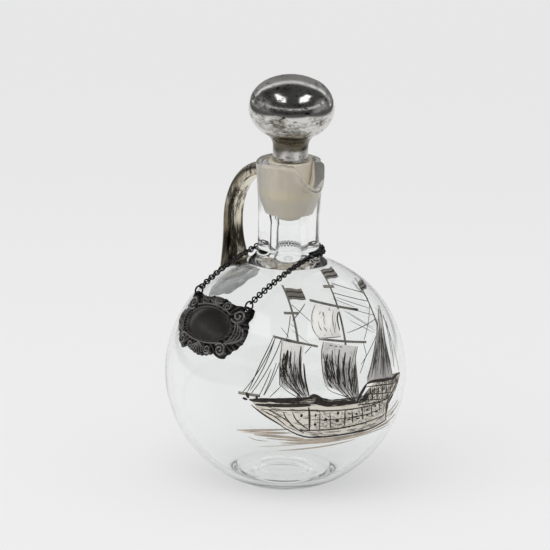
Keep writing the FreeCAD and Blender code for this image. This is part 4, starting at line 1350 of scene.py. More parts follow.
# Washes of the sea as (width in sea line widths, places)
SEA_STROKE_SHARES = (
    (1.43, ((-1.083, -0.946), (-0.866, -0.866), (-0.575, -0.8))),
    (0.65, ((-1.028, -0.99), (-0.781, -0.967), (-0.502, -0.914))),
    (1.95, ((-0.916, -1.022), (-0.672, -1.039), (-0.386, -1.1))),
    (1.04, ((-0.792, -1.114), (-0.441, -1.159), (-0.065, -1.212))),
    (2.21, ((-0.578, -1.151), (-0.298, -1.161), (0.066, -1.155))),
    (0.91, ((-0.638, -1.233), (-0.317, -1.239), (0.142, -1.23))),
    (0.78, ((-0.433, -1.274), (-0.061, -1.262), (0.441, -1.183))),
    (1.69, ((-0.25, -1.138), (0.136, -1.147), (0.555, -1.147))),
    (0.78, ((0.144, -1.247), (0.526, -1.195), (0.912, -1.169))),
    (1.43, ((0.551, -1.112), (0.806, -1.051), (1.025, -0.943))),
    (0.91, ((0.741, -0.814), (0.893, -0.67), (1.022, -0.495))),
    (1.17, ((0.676, -0.93), (0.862, -0.804), (1.017, -0.711))),
    (0.52, ((-0.849, -1.408), (-0.598, -1.332), (-0.291, -1.26))),
    (0.52, ((-0.966, -1.118), (-0.885, -1.196), (-0.765, -1.209))),
    (0.65, ((-0.07, -1.146), (0.355, -1.108), (0.797, -0.98))),
)

# Engraved strokes as (width in cut widths, places)
HULL_STROKE_SHARES = (
    (4.2, ((-0.984, -0.002), (-0.702, 0.024), (-0.337, 0.041))),
    (4.4, ((-0.946, -0.097), (-0.648, -0.084), (-0.349, -0.075))),
    (3.6, ((-1.003, 0.007), (-0.827, 0.003))),
    (4.7, ((-0.213, -0.009), (0.023, -0.08), (0.281, -0.122))),
    (1.4, ((-0.886, -0.22), (-0.478, -0.224), (0.026, -0.289), (0.503, -0.309), (0.787, -0.229))),
    (1.7, ((-0.46, -0.823), (-0.088, -0.856), (0.334, -0.813), (0.736, -0.747))),
    (2.2, ((-0.656, -0.722), (-0.452, -0.981), (-0.267, -1.07), (0.129, -1.064), (0.545, -1.044), (0.812, -0.926))),
    (1.1, ((-0.33, -0.513), (-0.102, -0.543), (0.321, -0.56), (0.683, -0.497))),
    (1.4, ((-0.657, -0.293), (-0.608, -0.505), (-0.509, -0.756), (-0.397, -0.924))),
    (1.4, ((-0.557, -0.294), (-0.507, -0.509), (-0.419, -0.702), (-0.355, -0.803))),
    (1.1, ((-0.886, -0.25), (-0.75, -0.417), (-0.613, -0.69))),
    (1.8, ((-0.984, -0.12), (-0.864, -0.368), (-0.645, -0.721))),
    (1.1, ((-0.826, -0.212), (-0.698, -0.384), (-0.583, -0.598))),
    (2.5, ((-0.373, -0.131), (-0.355, -0.464), (-0.341, -0.837))),
    (1.1, ((-0.236, -0.272), (-0.217, -0.858))),
    (1.4, ((-0.107, -0.329), (-0.077, -0.828))),
    (1.8, ((0.096, -0.325), (0.112, -0.79))),
    (1.8, ((0.196, -0.359), (0.225, -0.737))),
    (1.4, ((0.345, -0.327), (0.374, -0.707))),
    (1.4, ((0.487, -0.301), (0.516, -0.651))),
    (1.4, ((0.621, -0.25), (0.65, -0.57))),
    (4.4, ((-0.466, -0.376), (-0.438, -0.378))),
    (3.6, ((-0.296, -0.382), (-0.271, -0.386))),
    (3.9, ((-0.013, -0.368), (0.019, -0.378))),
    (3, ((0.251, -0.471), (0.281, -0.482))),
    (2.8, ((0.409, -0.415), (0.441, -0.418))),
    (2.8, ((0.546, -0.361), (0.572, -0.362))),
    (3.6, ((-0.296, -0.66), (-0.262, -0.67))),
    (4.2, ((-0.172, -0.53), (-0.132, -0.54))),
    (4.2, ((-0.02, -0.6), (0.026, -0.61))),
    (1.2, ((0.141, -0.431), (0.184, -0.446))),
    (1.5, ((0.132, -0.611), (0.19, -0.619))),
    (1.9, ((0.264, -0.629), (0.324, -0.623))),
    (1.9, ((0.416, -0.586), (0.464, -0.588))),
    (1.9, ((0.562, -0.552), (0.614, -0.549))),
    (1.4, ((0.406, 0.084), (0.638, 0.067), (0.909, 0.032))),
    (1.4, ((0.372, 0.024), (0.601, -0.016), (0.845, -0.118))),
    (1.2, ((0.341, -0.087), (0.568, -0.176), (0.808, -0.272))),
    (1.8, ((0.468, 0.066), (0.46, 0.021))),
    (1.8, ((0.534, 0.061), (0.526, 0.012))),
    (1.8, ((0.602, 0.055), (0.594, 0.001))),
    (1.8, ((0.673, 0.047), (0.668, -0.023))),
    (1.8, ((0.746, 0.038), (0.742, -0.066))),
    (1.8, ((0.825, 0.027), (0.817, -0.099))),
    (1.7, ((0.419, 0.009), (0.413, -0.117))),
    (1.7, ((0.499, -0.009), (0.494, -0.155))),
    (1.7, ((0.584, -0.039), (0.578, -0.185))),
    (1.7, ((0.672, -0.075), (0.667, -0.221))),
    (1.7, ((0.766, -0.113), (0.757, -0.251))),
    (3.9, ((0.408, 0.115), (0.538, 0.119), (0.87, 0.086))),
    (4.2, ((0.266, -0.086), (0.326, 0.039), (0.408, 0.111))),
    (2.2, ((0.87, 0.086), (0.937, 0.094), (1.01, 0.099))),
    (4.4, ((-0.385, 0.033), (-0.312, 0.061), (-0.213, 0.03))),
    (3, ((-1.062, 0.017), (-1.021, 0.006))),
    (2.8, ((-1.029, 0.074), (-1.012, 0.02))),
    (2.2, ((-0.936, 0.049), (-0.927, 0.003))),
    (1.9, ((0.79, -0.911), (0.767, -0.519), (0.807, -0.242), (0.909, -0.014), (0.981, 0.07))),
    (1.4, ((0.267, -0.206), (0.502, -0.248), (0.749, -0.265))),
    (1.7, ((-0.213, 0.034), (-0.2, -0.1))),
)
SAIL_STROKE_SHARES = (
    (5.5, ((-0.566, 0.455), (-0.596, 0.381), (-0.625, 0.287))),
    (3.5, ((-0.535, 0.447), (-0.556, 0.38), (-0.578, 0.304))),
    (4.2, ((-0.41, 0.486), (-0.45, 0.379), (-0.46, 0.259), (-0.429, 0.117))),
    (3.6, ((-0.41, 0.344), (-0.409, 0.205), (-0.372, 0.06))),
    (2.1, ((-0.683, 0.261), (-0.586, 0.156), (-0.444, 0.035))),
    (1.7, ((-0.67, 0.2), (-0.567, 0.12), (-0.432, 0.026))),
    (2.4, ((-0.626, 0.278), (-0.541, 0.155), (-0.421, 0.035))),
    (2.6, ((-0.563, 0.261), (-0.497, 0.136), (-0.409, 0.043))),
    (2.5, ((-0.498, 0.312), (-0.461, 0.153), (-0.397, 0.043))),
    (1.7, ((-0.7, 0.164), (-0.612, 0.102), (-0.456, 0.026))),
    (1.4, ((-0.609, 0.528), (-0.674, 0.347), (-0.7, 0.155))),
    (1.2, ((-0.607, 0.533), (-0.381, 0.502))),
    (1.7, ((-0.616, 0.431), (-0.646, 0.347), (-0.651, 0.261))),
    (1.4, ((-0.49, 0.447), (-0.517, 0.329), (-0.504, 0.19))),
    (1.4, ((-0.13, 0.515), (-0.18, 0.419), (-0.192, 0.265), (-0.168, 0.158))),
    (1.4, ((-0.168, 0.149), (-0.095, 0.09), (0.093, 0.029), (0.251, -0.11))),
    (1.7, ((0.322, 0.442), (0.265, 0.33), (0.272, 0.137), (0.289, -0.036))),
    (3.6, ((-0.109, 0.414), (-0.145, 0.314), (-0.138, 0.192))),
    (2.8, ((-0.035, 0.443), (-0.061, 0.343), (-0.04, 0.238))),
    (3.6, ((0.06, 0.443), (0.015, 0.32), (0.033, 0.179))),
    (4.7, ((0.135, 0.412), (0.081, 0.28), (0.097, 0.119))),
    (4.2, ((0.196, 0.372), (0.153, 0.238), (0.179, 0.075))),
    (6.1, ((0, 0.287), (-0.003, 0.217), (0.016, 0.144))),
    (2.8, ((0.237, 0.299), (0.228, 0.142), (0.25, 0.012))),
    (1.8, ((-0.1, 0.189), (0.025, 0.08), (0.192, -0.071))),
    (2.1, ((-0.022, 0.165), (0.08, 0.066), (0.207, -0.065))),
    (2.2, ((0.046, 0.169), (0.136, 0.061), (0.221, -0.07))),
    (3.3, ((-0.14, 0.174), (-0.08, 0.116))),
    (1.8, ((0.125, 0.116), (0.192, 0.037), (0.236, -0.075))),
    (1.7, ((-0.063, 0.483), (-0.025, 0.477))),
    (1.7, ((0.001, 0.473), (0.04, 0.467))),
    (1.7, ((0.066, 0.463), (0.106, 0.456))),
    (1.1, ((-0.107, 0.794), (-0.185, 0.731), (-0.224, 0.64), (-0.204, 0.576), (-0.159, 0.541))),
    (2.8, ((0.164, 0.729), (0.121, 0.672), (0.114, 0.586))),
    (2.1, ((0.173, 0.683), (0.16, 0.621))),
    (2.4, ((-0.038, 0.741), (-0.054, 0.708))),
    (1.1, ((-0.163, 0.545), (0.109, 0.541))),
    (1.2, ((0.101, 0.742), (0.056, 0.677), (0.043, 0.584))),
    (1.7, ((0.836, 0.661), (0.674, 0.507), (0.55, 0.345), (0.42, 0.145))),
    (2.1, ((0.866, 0.655), (0.799, 0.444), (0.823, 0.263), (0.865, 0.114))),
    (1.7, ((0.784, 0.597), (0.688, 0.423), (0.584, 0.201))),
    (2.2, ((0.77, 0.53), (0.727, 0.333), (0.701, 0.155))),
    (1.5, ((0.609, 0.394), (0.511, 0.229))),
    (1.5, ((0.741, 0.414), (0.771, 0.221), (0.794, 0.138))),
    (3.3, ((0.817, 0.282), (0.837, 0.209))),
    (1.7, ((0.552, 0.293), (0.487, 0.162))),
    (1.7, ((0.679, 0.324), (0.64, 0.156))),
)
ROPE_STROKE_SHARES = (
    (0.8, ((-1.019, 0.079), (-0.877, 0.324), (-0.695, 0.551))),
    (0.7, ((-0.995, 0.09), (-0.677, 0.543))),
    (0.7, ((-0.906, 0.059), (-0.772, 0.294))),
    (0.7, ((-0.867, 0.061), (-0.71, 0.346))),
    (0.7, ((-0.806, 0.045), (-0.686, 0.147))),
    (0.7, ((-0.477, 0.615), (-0.308, 0.507))),
    (0.7, ((-0.224, 0.806), (-0.435, 0.685))),
    (0.7, ((-0.406, 0.622), (-0.468, 0.662))),
    (0.8, ((0.29, 0.437), (0.137, 0.222))),
    (0.8, ((0.422, 0.455), (0.438, 0.36))),
    (0.8, ((0.438, 0.36), (0.311, 0.212))),
    (0.7, ((0.64, 0.48), (0.34, 0.287))),
    (0.7, ((0.253, 0.728), (0.648, 0.527))),
    (0.7, ((0.151, 0.826), (0.423, 0.738))),
    (0.7, ((0.212, 0.828), (0.682, 0.691))),
    (0.7, ((0.727, 0.608), (0.204, 0.561))),
    (0.7, ((0.622, 0.515), (0.283, 0.656))),
    (0.7, ((0.914, 0.555), (0.907, 0.177))),
    (0.7, ((0.894, 0.604), (0.88, 0.303))),
    (0.7, ((0.292, 0.716), (0.627, 0.555))),
    (0.7, ((0.406, 0.718), (0.727, 0.631))),
    (0.7, ((0.568, 0.889), (0.714, 0.75))),
    (0.7, ((-0.524, 0.553), (-0.58, 0.631))),
    (0.7, ((-0.379, 0.427), (-0.291, 0.482))),
)


# Each table of strokes with its weight
STROKES = ((HULL_STROKE_SHARES, 1.4), (SAIL_STROKE_SHARES, 0.8), (ROPE_STROKE_SHARES, 1.1))
# Tarnish of the sails as (millimetres up, film), over a level this far above the globe's middle
SAIL_FOOT = 6 * MM
SAIL_BANDS = ((4, 0.5), (14, 0.45), (24, 0.2), (29, 0.02), (34, 0.0))
# Rows and columns of the meshes
HULL_GRID = (26, 150)
SAIL_GRID = (30, 30)


class Drawing:
    """The ship's flat drawing and the way it is laid on the globe."""

    def __init__(self, ship, vessel):
        self.radius = vessel.globe_radius
        self.centre = globe_centre(vessel)
        self.long = self.radius * math.sin(ship.half_angle)
        self.tall = ship.mast_height
        self.deep = self.radius * math.sin(ship.draught_angle)
        turn = ship.azimuth
        self.out = np.array([math.cos(turn), math.sin(turn), 0])
        self.side = np.array([-math.sin(turn), math.cos(turn), 0])

    def flat(self, shares):
        """Flat places of (across, up) shares."""
        spots = np.array(shares, float)
        return np.stack([spots[..., 0] * self.long,
                         np.where(spots[..., 1] > 0, spots[..., 1] * self.tall, spots[..., 1] * self.deep)], -1)

    def laid(self, flat, lift):
        """Flat places laid back on the globe at a height over the glass."""
        flat = np.asarray(flat).reshape(-1, 2)
        radius = self.radius + np.broadcast_to(lift, len(flat))
        depth = np.sqrt(np.maximum(radius ** 2 - (flat ** 2).sum(1), 0))
        return (np.array([0, 0, self.centre]) + np.outer(flat[:, 0], self.side) + np.outer(depth, self.out)
                + np.outer(flat[:, 1], (0, 0, 1)))


def drawn(points, steps):
    """An open smooth curve through points."""
    spots = np.array(points, float)
    padded = np.vstack([2 * spots[0] - spots[1], spots, 2 * spots[-1] - spots[-2]])
    out = []
    for k in range(len(spots) - 1):
        a, b, c, d = padded[k:k + 4]
        for t in np.linspace(0, 1, steps, endpoint=False):
            out.append(0.5 * (2 * b + (c - a) * t + (2 * a - 5 * b + 4 * c - d) * t ** 2
                              + (3 * b - a - 3 * c + d) * t ** 3))
    return np.array(out + [spots[-1]])


def spread(points, gap):
    """A polyline with points no further apart than a gap."""
    out = [np.array(points[0], float)]
    for start, end in zip(points, points[1:]):
        count = max(1, math.ceil(np.linalg.norm(np.subtract(end, start)) / gap))
        out += [np.array(start) + (np.array(end) - np.array(start)) * k / count for k in range(1, count + 1)]
    return np.array(out)


def ribbon(drawing, flat, widths, low, high):
    """A closed strip along a flat polyline, between two heights over the glass."""
    line = np.asarray(flat, float)
    way = np.gradient(line, axis=0)
    way /= np.maximum(np.linalg.norm(way, axis=1), 1e-12)[:, None]
    side = np.stack([-way[:, 1], way[:, 0]], 1) * (np.broadcast_to(widths, len(line)) / 2)[:, None]
    rings = np.stack([drawing.laid(line + side, high), drawing.laid(line - side, high),
                      drawing.laid(line - side, low), drawing.laid(line + side, low)], 1)
    faces = []
    for row in range(len(line) - 1):
        for k in range(4):
            n = (k + 1) % 4
            faces.append([row * 4 + n, row * 4 + k, row * 4 + 4 + k, row * 4 + 4 + n])
    faces += [[3, 2, 1, 0], [len(line) * 4 - 4 + k for k in range(4)]]
    return rings.reshape(-1, 3), [f[::-1] for f in faces]


def patch(drawing, grid, low, high):
    """A closed sheet over a grid of flat places; high may change over the grid."""
    rows, columns = grid.shape[:2]
    top = drawing.laid(grid, np.asarray(high).reshape(-1) if np.ndim(high) else high)
    points = np.concatenate([top, drawing.laid(grid, low)])
    shift = rows * columns
    faces = []
    for r in range(rows - 1):
        for c in range(columns - 1):
            quad = [r * columns + c, r * columns + c + 1, (r + 1) * columns + c + 1, (r + 1) * columns + c]
            faces.append(quad)
            faces.append([shift + k for k in reversed(quad)])
    rim = [c for c in range(columns)] + [r * columns + columns - 1 for r in range(1, rows)]
    rim += [shift - 1 - c for c in range(1, columns)] + [r * columns for r in range(rows - 2, 0, -1)]
    for a, b in zip(rim, rim[1:] + rim[:1]):
        faces.append([b, a, shift + a, shift + b])
    return points, faces


def resampled(line, count):
    """A polyline walked in even steps."""
    walked = np.concatenate([[0], np.cumsum(np.linalg.norm(np.diff(line, axis=0), axis=1))])
    places = np.linspace(0, walked[-1], count)
    return np.stack([np.interp(places, walked, line[:, k]) for k in (0, 1)], 1)


def sail_grid(drawing, edges, rows, columns):
    """Grid of a sail between its two side edges, from head to foot."""
    left, right = (resampled(drawn(drawing.flat(edge), 12), rows) for edge in edges)
    u = np.linspace(0, 1, columns)[None, :, None]
    return (1 - u) * left[:, None] + u * right[:, None]


class EWER_OT_ship(bpy.types.Operator):
    """Lay the silver ship on the globe and engrave it"""

    bl_idname = "ewer.ship"
    bl_label = "Ship"

    def execute(self, context):
        ewer = context.scene.ewer
        s, finish = ewer.ship, ewer.finish
        drawing = Drawing(s, ewer.vessel)
        bright = silver("spar_silver", finish, film=0.55, gloss=0.18, haze=0.2, stretch=(1.0, 1.0, 0.6),
                        tint=(0.36, 0.345, 0.32), metal=0.6, stain=finish.engraved)
        planks = silver("hull_silver", finish, film=0.54, gloss=0.24, haze=0.2, stretch=(1.0, 1.0, 2.0),
                        tint=(1.0, 0.955, 0.875), metal=0.35, stain=finish.sepia, pits=0.35)
        cuts = []
        draw = np.random.RandomState(SHIP_SEED)
        self.hull(drawing, s, planks, cuts, draw)
        for name in SAIL_EDGE_SHARES:
            self.sail(drawing, s, name, finish, cuts, draw)
        self.spars(drawing, s, bright, finish, cuts)
        for table, weight in STROKES:
            for width, shares in table:
                self.cut(drawing, s, cuts, drawing.flat(shares), width * weight * s.cut_width)
        points, faces = merged(cuts)
        piece("ship_engraving", points, faces, [engraved_dark(finish)], "vessel", "ship_silver")
        return {"FINISHED"}

    def lay(self, name, mesh, material, node=None):
        """A piece of the ship's foil that stands for its node of the frame."""
        piece(f"ship_{name}_silver", *mesh, [material], "vessel", "ship_silver", [f"ship_{node or name}"])

    def cut(self, drawing, s, cuts, flat, width):
        """A stroke that thins towards both ends."""
        line = spread(drawn(flat, 6), 1.2 * MM)
        t = np.linspace(0, 1, len(line))
        widths = width * (0.35 + 0.65 * np.sin(np.pi * t) ** 0.5)
        cuts.append(ribbon(drawing, line, widths, CUT_SEAT, s.foil + s.cut_lift))

    def hull(self, drawing, s, planks, cuts, draw):
        """The hull's foil with its seams and hatching."""
        low = drawn(drawing.flat(HULL_LOW_SHARES), 14)
        rail = spread(drawing.flat(HULL_RAIL_SHARES), 1.5 * MM)
        rows, columns = HULL_GRID
        bottom, top = resampled(low, columns), resampled(rail, columns)
        w = np.linspace(0, 1, rows)[:, None, None]
        grid = (1 - w) * top[None] + w * bottom[None]
        seams = 0.02 * MM * np.abs(np.sin(np.linspace(0, 9 * np.pi, rows)))[:, None] * np.ones((1, columns))
        self.lay("hull", patch(drawing, grid[::-1], FOIL_SEAT, (s.foil + seams)[::-1]), planks)
        for count, first, last, top_row, low_row, long, deep, thick in HULL_HATCHING:
            for _ in range(count):
                spot = np.array([draw.uniform(top_row, low_row), draw.uniform(first, last)])
                reach = np.array([deep, long]) * draw.uniform(0.4, 1.0)
                steps = spot + reach * np.linspace(0, 1, 6)[:, None]
                row = np.clip(np.round(steps[:, 0] * (rows - 1)), 0, rows - 1).astype(int)
                column = np.clip(np.round(steps[:, 1] * (columns - 1)), 1, columns - 2).astype(int)
                ends = grid[row[0], column[0]], grid[row[-1], column[-1]]
                if np.linalg.norm(ends[1] - ends[0]) > 0.3 * MM:
                    line = spread(ends, 1.0 * MM)
                    thinned = np.sin(np.pi * np.linspace(0.12, 0.88, len(line)))
                    widths = s.cut_width * thick * draw.uniform(0.5, 1.3) * thinned
                    cuts.append(ribbon(drawing, line, widths, CUT_SEAT, s.foil + s.cut_lift))

    def sail(self, drawing, s, name, finish, cuts, draw):
        """A sail's foil with its folds and streaks."""
        rows, columns = SAIL_GRID
        low = drawing.centre + SAIL_FOOT
        canvas = silver(f"{name}_silver", finish, film=SAIL_FILMS[name], gloss=0.22, haze=0.22, stretch=(2.4, 2.4, 0.5),
                        metal=0.2, pits=0.45, stain=finish.shade,
                        bands=[(low + up * MM, film) for up, film in SAIL_BANDS])
        grid = sail_grid(drawing, SAIL_EDGE_SHARES[name], rows, columns)
        u, w = np.meshgrid(np.linspace(0, 1, columns), np.linspace(0, 1, rows))
        folds = 0.10 * MM * (0.5 + 0.5 * np.sin(u * 17 + 2.0 * w)) * np.sin(np.pi * w) ** 0.7
        self.lay(name, patch(drawing, grid[::-1], FOIL_SEAT, (s.foil + 0.03 * MM + folds)[::-1]), canvas)
        t = np.linspace(0, 1, 12)
        for _ in range(SAIL_STREAKS[name]):
            place, start = draw.rand(), draw.uniform(0.22, 0.7)
            end = min(start + draw.uniform(0.12, 0.4), 0.97)
            column = np.clip(place + 0.12 * (0.6 - place) * t ** 2, 0.03, 0.97) * (columns - 1)
            row = (start + (end - start) * t) * (rows - 1)
            line = grid[np.round(row).astype(int), np.round(column).astype(int)]
            line = drawn(line[[0, 5, 11]], 6)
            widths = s.cut_width * draw.uniform(0.3, 1.0) * np.sin(np.pi * np.linspace(0.06, 0.94, len(line)))
            cuts.append(ribbon(drawing, line, widths, CUT_SEAT, s.foil + s.cut_lift))

    def spars(self, drawing, s, bright, finish, cuts):
        """Masts, bowsprit, yards, rigging, pennants and sea."""
        low, high = FOIL_SEAT, s.foil * 0.8
        for name, (foot, head, top) in MAST_SHARES.items():
            line = spread(drawing.flat([(foot, 0.02), (head, top)]), 2 * MM)
            widths = s.mast_width * (1 + (MAST_TAPER_SHARE - 1) * np.linspace(0, 1, len(line)))
            self.lay(f"{name}_mast", ribbon(drawing, line, widths, low, high), bright)

        def bars(pairs, width, height):
            """Straight strips between pairs of places."""
            return merged([ribbon(drawing, spread(drawing.flat(pair), 2 * MM), width, low, height) for pair in pairs])

        self.lay("bowsprit", bars([BOWSPRIT_SHARES], s.mast_width, high), bright)
        self.lay("yards", bars(YARD_SHARES, s.yard_width, s.foil * 1.2), bright)
        dark = silver("rope_silver", finish, film=0.8, gloss=0.2, haze=0.2, stretch=(1, 1, 1), tint=(0.5, 0.5, 0.5))
        self.lay("rigging", bars(ROPE_SHARES, s.rope_width, s.foil * 0.6), dark)
        flags = []
        for foot, up, long, depth in PENNANT_SHARES:
            top, under = drawing.flat([(foot, up), (foot, up - depth)])
            fly = np.array([long * drawing.long, 0])
            t = np.linspace(0, 1, 14)[:, None]
            wave = 0.2 * MM * np.sin(t * math.tau) * np.array([0, 1])
            rows = [top + (under - top) * k + fly * t + wave for k in np.linspace(0, 1, 8)]
            flags.append(patch(drawing, np.array(rows)[::-1], low, s.foil))
            for row in (rows[2], rows[5]):
                cuts.append(ribbon(drawing, row, s.cut_width, s.foil - CUT_SEAT, s.foil + s.cut_lift))
        self.lay("pennants", merged(flags), bright)
        waves = []
        for pair in WAVE_SHARES:
            line = spread(drawing.flat(pair), 1.5 * MM)
            t = np.linspace(0, 1, len(line))
            thinned = np.sin(np.pi * np.clip(t, 0.03, 0.97)) ** 0.5
            waves.append(ribbon(drawing, line, s.wave_width * thinned, low, s.foil))
        for width, shares in SEA_STROKE_SHARES:
            line = spread(drawn(drawing.flat(shares), 6), 1.5 * MM)
            t = np.linspace(0.03, 0.97, len(line))
            waves.append(ribbon(drawing, line, width * s.wave_width * np.sin(np.pi * t) ** 0.5, low, s.foil * 0.6))
        self.lay("sea", merged(waves), sea_stain(finish), "sea_lines")


# Stage

FLOOR_GAP = 0.05 * MM
# What glass and metal see of the floor beyond the pale sheet, and how much darker the far floor is
DIM_FLOOR = (0.10, 0.10, 0.10)
FAR_FLOOR = 0.85
# What metal sees of the room as (how far towards the camera, grey), with its sides and a pale ledge
ROOM_STOPS = ((0.0, 0.24), (0.12, 0.28), (0.15, 0.80), (0.18, 0.80), (0.23, 0.06), (1.0, 0.04))
ROOM_SIDES = (0.28, 0.28, 0.28)
ROOM_LEDGE = (0.62, 0.62, 0.62)
# Bright panes over the camera as (across, up), their half width and half height
PANES = ((-0.40, 0.80), (0.47, 0.79))
PANE_HALVES = (0.15, 0.10)
PANE_TONE = (1.6, 1.6, 1.6)
# What glass sees towards the camera and beyond the ewer, and what the camera sees
BACKDROP_NEAR, BACKDROP_FAR = (0.52, 0.52, 0.525), (0.84, 0.84, 0.84)
BACKDROP_SEEN = (0.81, 0.81, 0.81)
# How far the broad lamp leans towards the camera and to its right
SKY_LEAN = (0.8, -0.5)


def bearings(stage):
    """Ways towards the camera and to its right, level with the table."""
    a = stage.azimuth
    return (math.sin(a), -math.cos(a), 0), (math.cos(a), math.sin(a), 0)


def floor_material(stage):
    """Pale floor that keeps the shadow; glass and metal see a sheet of paper on a darker floor."""
    material, tree, shader = new_material("pale_floor")
    if tree:
        place = own_place(tree)
        near, right = bearings(stage)
        aside = math_node(tree, "ABSOLUTE", dot(tree, place, right))
        beyond = math_node(tree, "MAXIMUM", climb(tree, aside, stage.paper_width, stage.paper_width + stage.paper_fade),
                           climb(tree, dot(tree, place, near), stage.paper_front, stage.paper_front + stage.paper_fade))
        rays = add(tree, "ShaderNodeLightPath")
        dim = math_node(tree, "MULTIPLY", beyond, math_node(tree, "SUBTRACT", 1.0, rays.outputs["Is Camera Ray"]))
        through = math_node(tree, "MULTIPLY_ADD", rays.outputs["Is Transmission Ray"], -0.5, 1.0)
        dim = math_node(tree, "MULTIPLY", dim, through)
        cloud = noise(tree, place, 3.0, 2.0)
        tone = mix(tree, cloud, toned(stage.floor_colour, 0.985), stage.floor_colour)
        far = climb(tree, dot(tree, place, near), 0.15, -0.9)
        tone = mix(tree, far, tone, toned(stage.floor_colour, FAR_FLOOR))
        link(tree, mix(tree, dim, tone, DIM_FLOOR), shader, "Base Color")
        shader.inputs["Roughness"].default_value = 0.9
        shader.inputs["Specular IOR Level"].default_value = 0.0
        seen = math_node(tree, "MAXIMUM", rays.outputs["Is Camera Ray"],
                         math_node(tree, "MAXIMUM", rays.outputs["Is Glossy Ray"], rays.outputs["Is Transmission Ray"]))
        glow = math_node(tree, "MULTIPLY", seen, math_node(tree, "SUBTRACT", 1.0, dim))
        shader.inputs["Emission Color"].default_value = (1, 1, 1, 1)
        link(tree, math_node(tree, "MULTIPLY", glow, stage.floor_glow), shader, "Emission Strength")
    return material


def studio_world(stage):
    """White where the camera sees it; metal sees the room over the camera, glass the pale backdrop."""
    world = bpy.data.worlds.new("studio")
    bpy.context.scene.world = world
    world.use_nodes = True
    tree = world.node_tree
    ground = tree.nodes["Background"]
    way = add(tree, "ShaderNodeTexCoord").outputs["Generated"]
    near, right = bearings(stage)
    towards, across = dot(tree, way, near), dot(tree, way, right)
    up = add(tree, "ShaderNodeSeparateXYZ", {0: way}).outputs["Z"]
    facing = math_node(tree, "MULTIPLY_ADD", towards, 0.5, 0.5)
    room = ramp(tree, facing, ROOM_STOPS)
    flank = math_node(tree, "MAXIMUM", climb(tree, across, 0.80, 0.96), climb(tree, across, -0.74, -0.93))
    room = mix(tree, flank, room, ROOM_SIDES)
    ledge = math_node(tree, "MULTIPLY", climb(tree, up, 0.22, 0.27), climb(tree, up, 0.38, 0.33))
    room = mix(tree, math_node(tree, "MULTIPLY", ledge, climb(tree, towards, -0.45, -0.25)), room, ROOM_LEDGE)
    lit = 0.0
    for side, high in PANES:
        gaps = [math_node(tree, "ABSOLUTE", math_node(tree, "SUBTRACT", *pair))
                for pair in ((across, side), (up, high))]
        box = math_node(tree, "MAXIMUM", *(math_node(tree, "DIVIDE", *pair) for pair in zip(gaps, PANE_HALVES)))
        pane = math_node(tree, "MULTIPLY", climb(tree, box, 1.15, 0.85), math_node(tree, "GREATER_THAN", towards, 0.0))
        lit = math_node(tree, "MAXIMUM", lit, pane)
    room = mix(tree, lit, room, PANE_TONE)
    ahead = climb(tree, towards, 0.2, -0.5)
    backdrop = mix(tree, ahead, BACKDROP_NEAR, BACKDROP_FAR)
    rays = add(tree, "ShaderNodeLightPath")
    shown = mix(tree, rays.outputs["Is Camera Ray"], [stage.ambient] * 3, BACKDROP_SEEN)
    shown = mix(tree, rays.outputs["Is Glossy Ray"], shown, room)
    shown = mix(tree, rays.outputs["Is Transmission Ray"], shown, backdrop)
    tree.links.new(shown, ground.inputs["Color"])


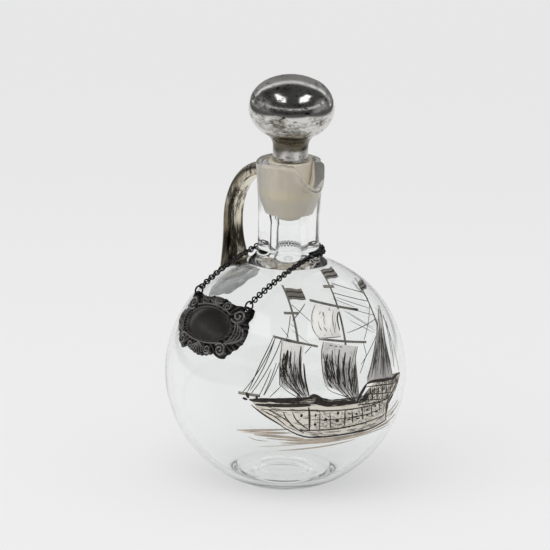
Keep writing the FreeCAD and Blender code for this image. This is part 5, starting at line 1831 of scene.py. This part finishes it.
class EWER_OT_stage(bpy.types.Operator):
    """Set up the pale floor, soft light and camera"""

    bl_idname = "ewer.stage"
    bl_label = "Stage"

    def execute(self, context):
        ewer = context.scene.ewer
        stage, v = ewer.stage, ewer.vessel
        scene = context.scene
        scene.view_settings.view_transform = "Standard"
        size = stage.floor_size
        mesh = bpy.data.meshes.new("pale_floor")
        mesh.from_pydata([(-size, -size, 0), (size, -size, 0), (size, size, 0), (-size, size, 0)], [], [[0, 1, 2, 3]])
        mesh.materials.append(floor_material(stage))
        floor = bpy.data.objects.new("pale_floor", mesh)
        floor.location.z = FOOT_LEVEL - FLOOR_GAP
        scene.collection.objects.link(floor)
        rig.stage(floor)
        studio_world(stage)
        self.camera(scene, stage, v)
        self.sky(scene, stage)
        return {"FINISHED"}

    def sky(self, scene, stage):
        """A broad soft lamp overhead that metal and glass don't show."""
        near, right = (Vector(way) for way in bearings(stage))
        lamp = bpy.data.lights.new("sky", "SUN")
        lamp.energy, lamp.angle = stage.sky, stage.sky_spread
        item = bpy.data.objects.new("sky", lamp)
        item.rotation_mode = "QUATERNION"
        above = near * SKY_LEAN[0] + right * SKY_LEAN[1] + Vector((0, 0, 1))
        item.rotation_quaternion = above.to_track_quat("Z", "Y")
        item.visible_glossy = False
        item.visible_transmission = False
        scene.collection.objects.link(item)

    def camera(self, scene, stage, v):
        """A far camera that puts the globe where the picture has it."""
        a, e = stage.azimuth, stage.elevation
        back = Vector((math.sin(a) * math.cos(e), -math.cos(a) * math.cos(e), math.sin(e)))
        right = Vector((math.cos(a), math.sin(a), 0))
        up = back.cross(right)
        turn = Matrix.Rotation(stage.roll, 3, back)
        right, up = turn @ right, turn @ up
        centre = Vector((0, 0, globe_centre(v)))
        middle = PHOTO_WIDTH / 2
        aim = centre - right * ((stage.globe_x - middle) * stage.pixel) + up * ((stage.globe_y - middle) * stage.pixel)
        data = bpy.data.cameras.new("camera")
        data.sensor_width = SENSOR_WIDTH
        data.lens = data.sensor_width * stage.distance / (PHOTO_WIDTH * stage.pixel)
        item = bpy.data.objects.new("camera", data)
        item.matrix_world = Matrix.Translation(aim + back * stage.distance) @ Matrix(
            (right, up, back)).transposed().to_4x4()
        scene.collection.objects.link(item)
        scene.camera = item


class EWER_PT_sidebar(bpy.types.Panel):
    """The ewer's pieces and their sizes"""

    bl_label = "Glass Ewer"
    bl_idname = "EWER_PT_sidebar"
    bl_space_type = "VIEW_3D"
    bl_region_type = "UI"
    bl_category = "Ewer"

    def draw(self, context):
        ewer = context.scene.ewer
        groups = (ewer.vessel, ewer.stopper, ewer.handle, ewer.label, None, ewer.ship, ewer.stage)
        for operator, group in zip(PIECES, groups):
            box = self.layout.box()
            box.operator(operator.bl_idname)
            for name in group.bl_rna.properties.keys() if group else ():
                if name not in ("rna_type", "name"):
                    box.prop(group, name)


PIECES = (EWER_OT_vessel, EWER_OT_stopper, EWER_OT_handle, EWER_OT_label, EWER_OT_chain, EWER_OT_ship, EWER_OT_stage)
CLASSES = (EwerVessel, EwerStopper, EwerHandle, EwerLabel, EwerShip, EwerStage, EwerFinish, EwerSettings,
           *PIECES, EWER_PT_sidebar)


def register():
    """Make the ewer's settings, operators and panel known to Blender."""
    for item in CLASSES:
        bpy.utils.register_class(item)
    bpy.types.Scene.ewer = PointerProperty(type=EwerSettings)


def unregister():
    """Take them away again."""
    del bpy.types.Scene.ewer
    for item in reversed(CLASSES):
        bpy.utils.unregister_class(item)


def main():
    """Build the pieces in order, then the stage, and note the sizes."""
    register()
    bpy.ops.ewer.vessel()
    bpy.ops.ewer.stopper()
    bpy.ops.ewer.handle()
    bpy.ops.ewer.label()
    bpy.ops.ewer.chain()
    bpy.ops.ewer.ship()
    bpy.ops.ewer.stage()
    boxes = {"cad": [list(corner) for corner in CAD_BOX], "visual": [list(corner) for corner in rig.bounds()]}
    with open(SIZE_FILE, "w") as out:
        json.dump(boxes, out)


if __name__ == "__main__":
    main()
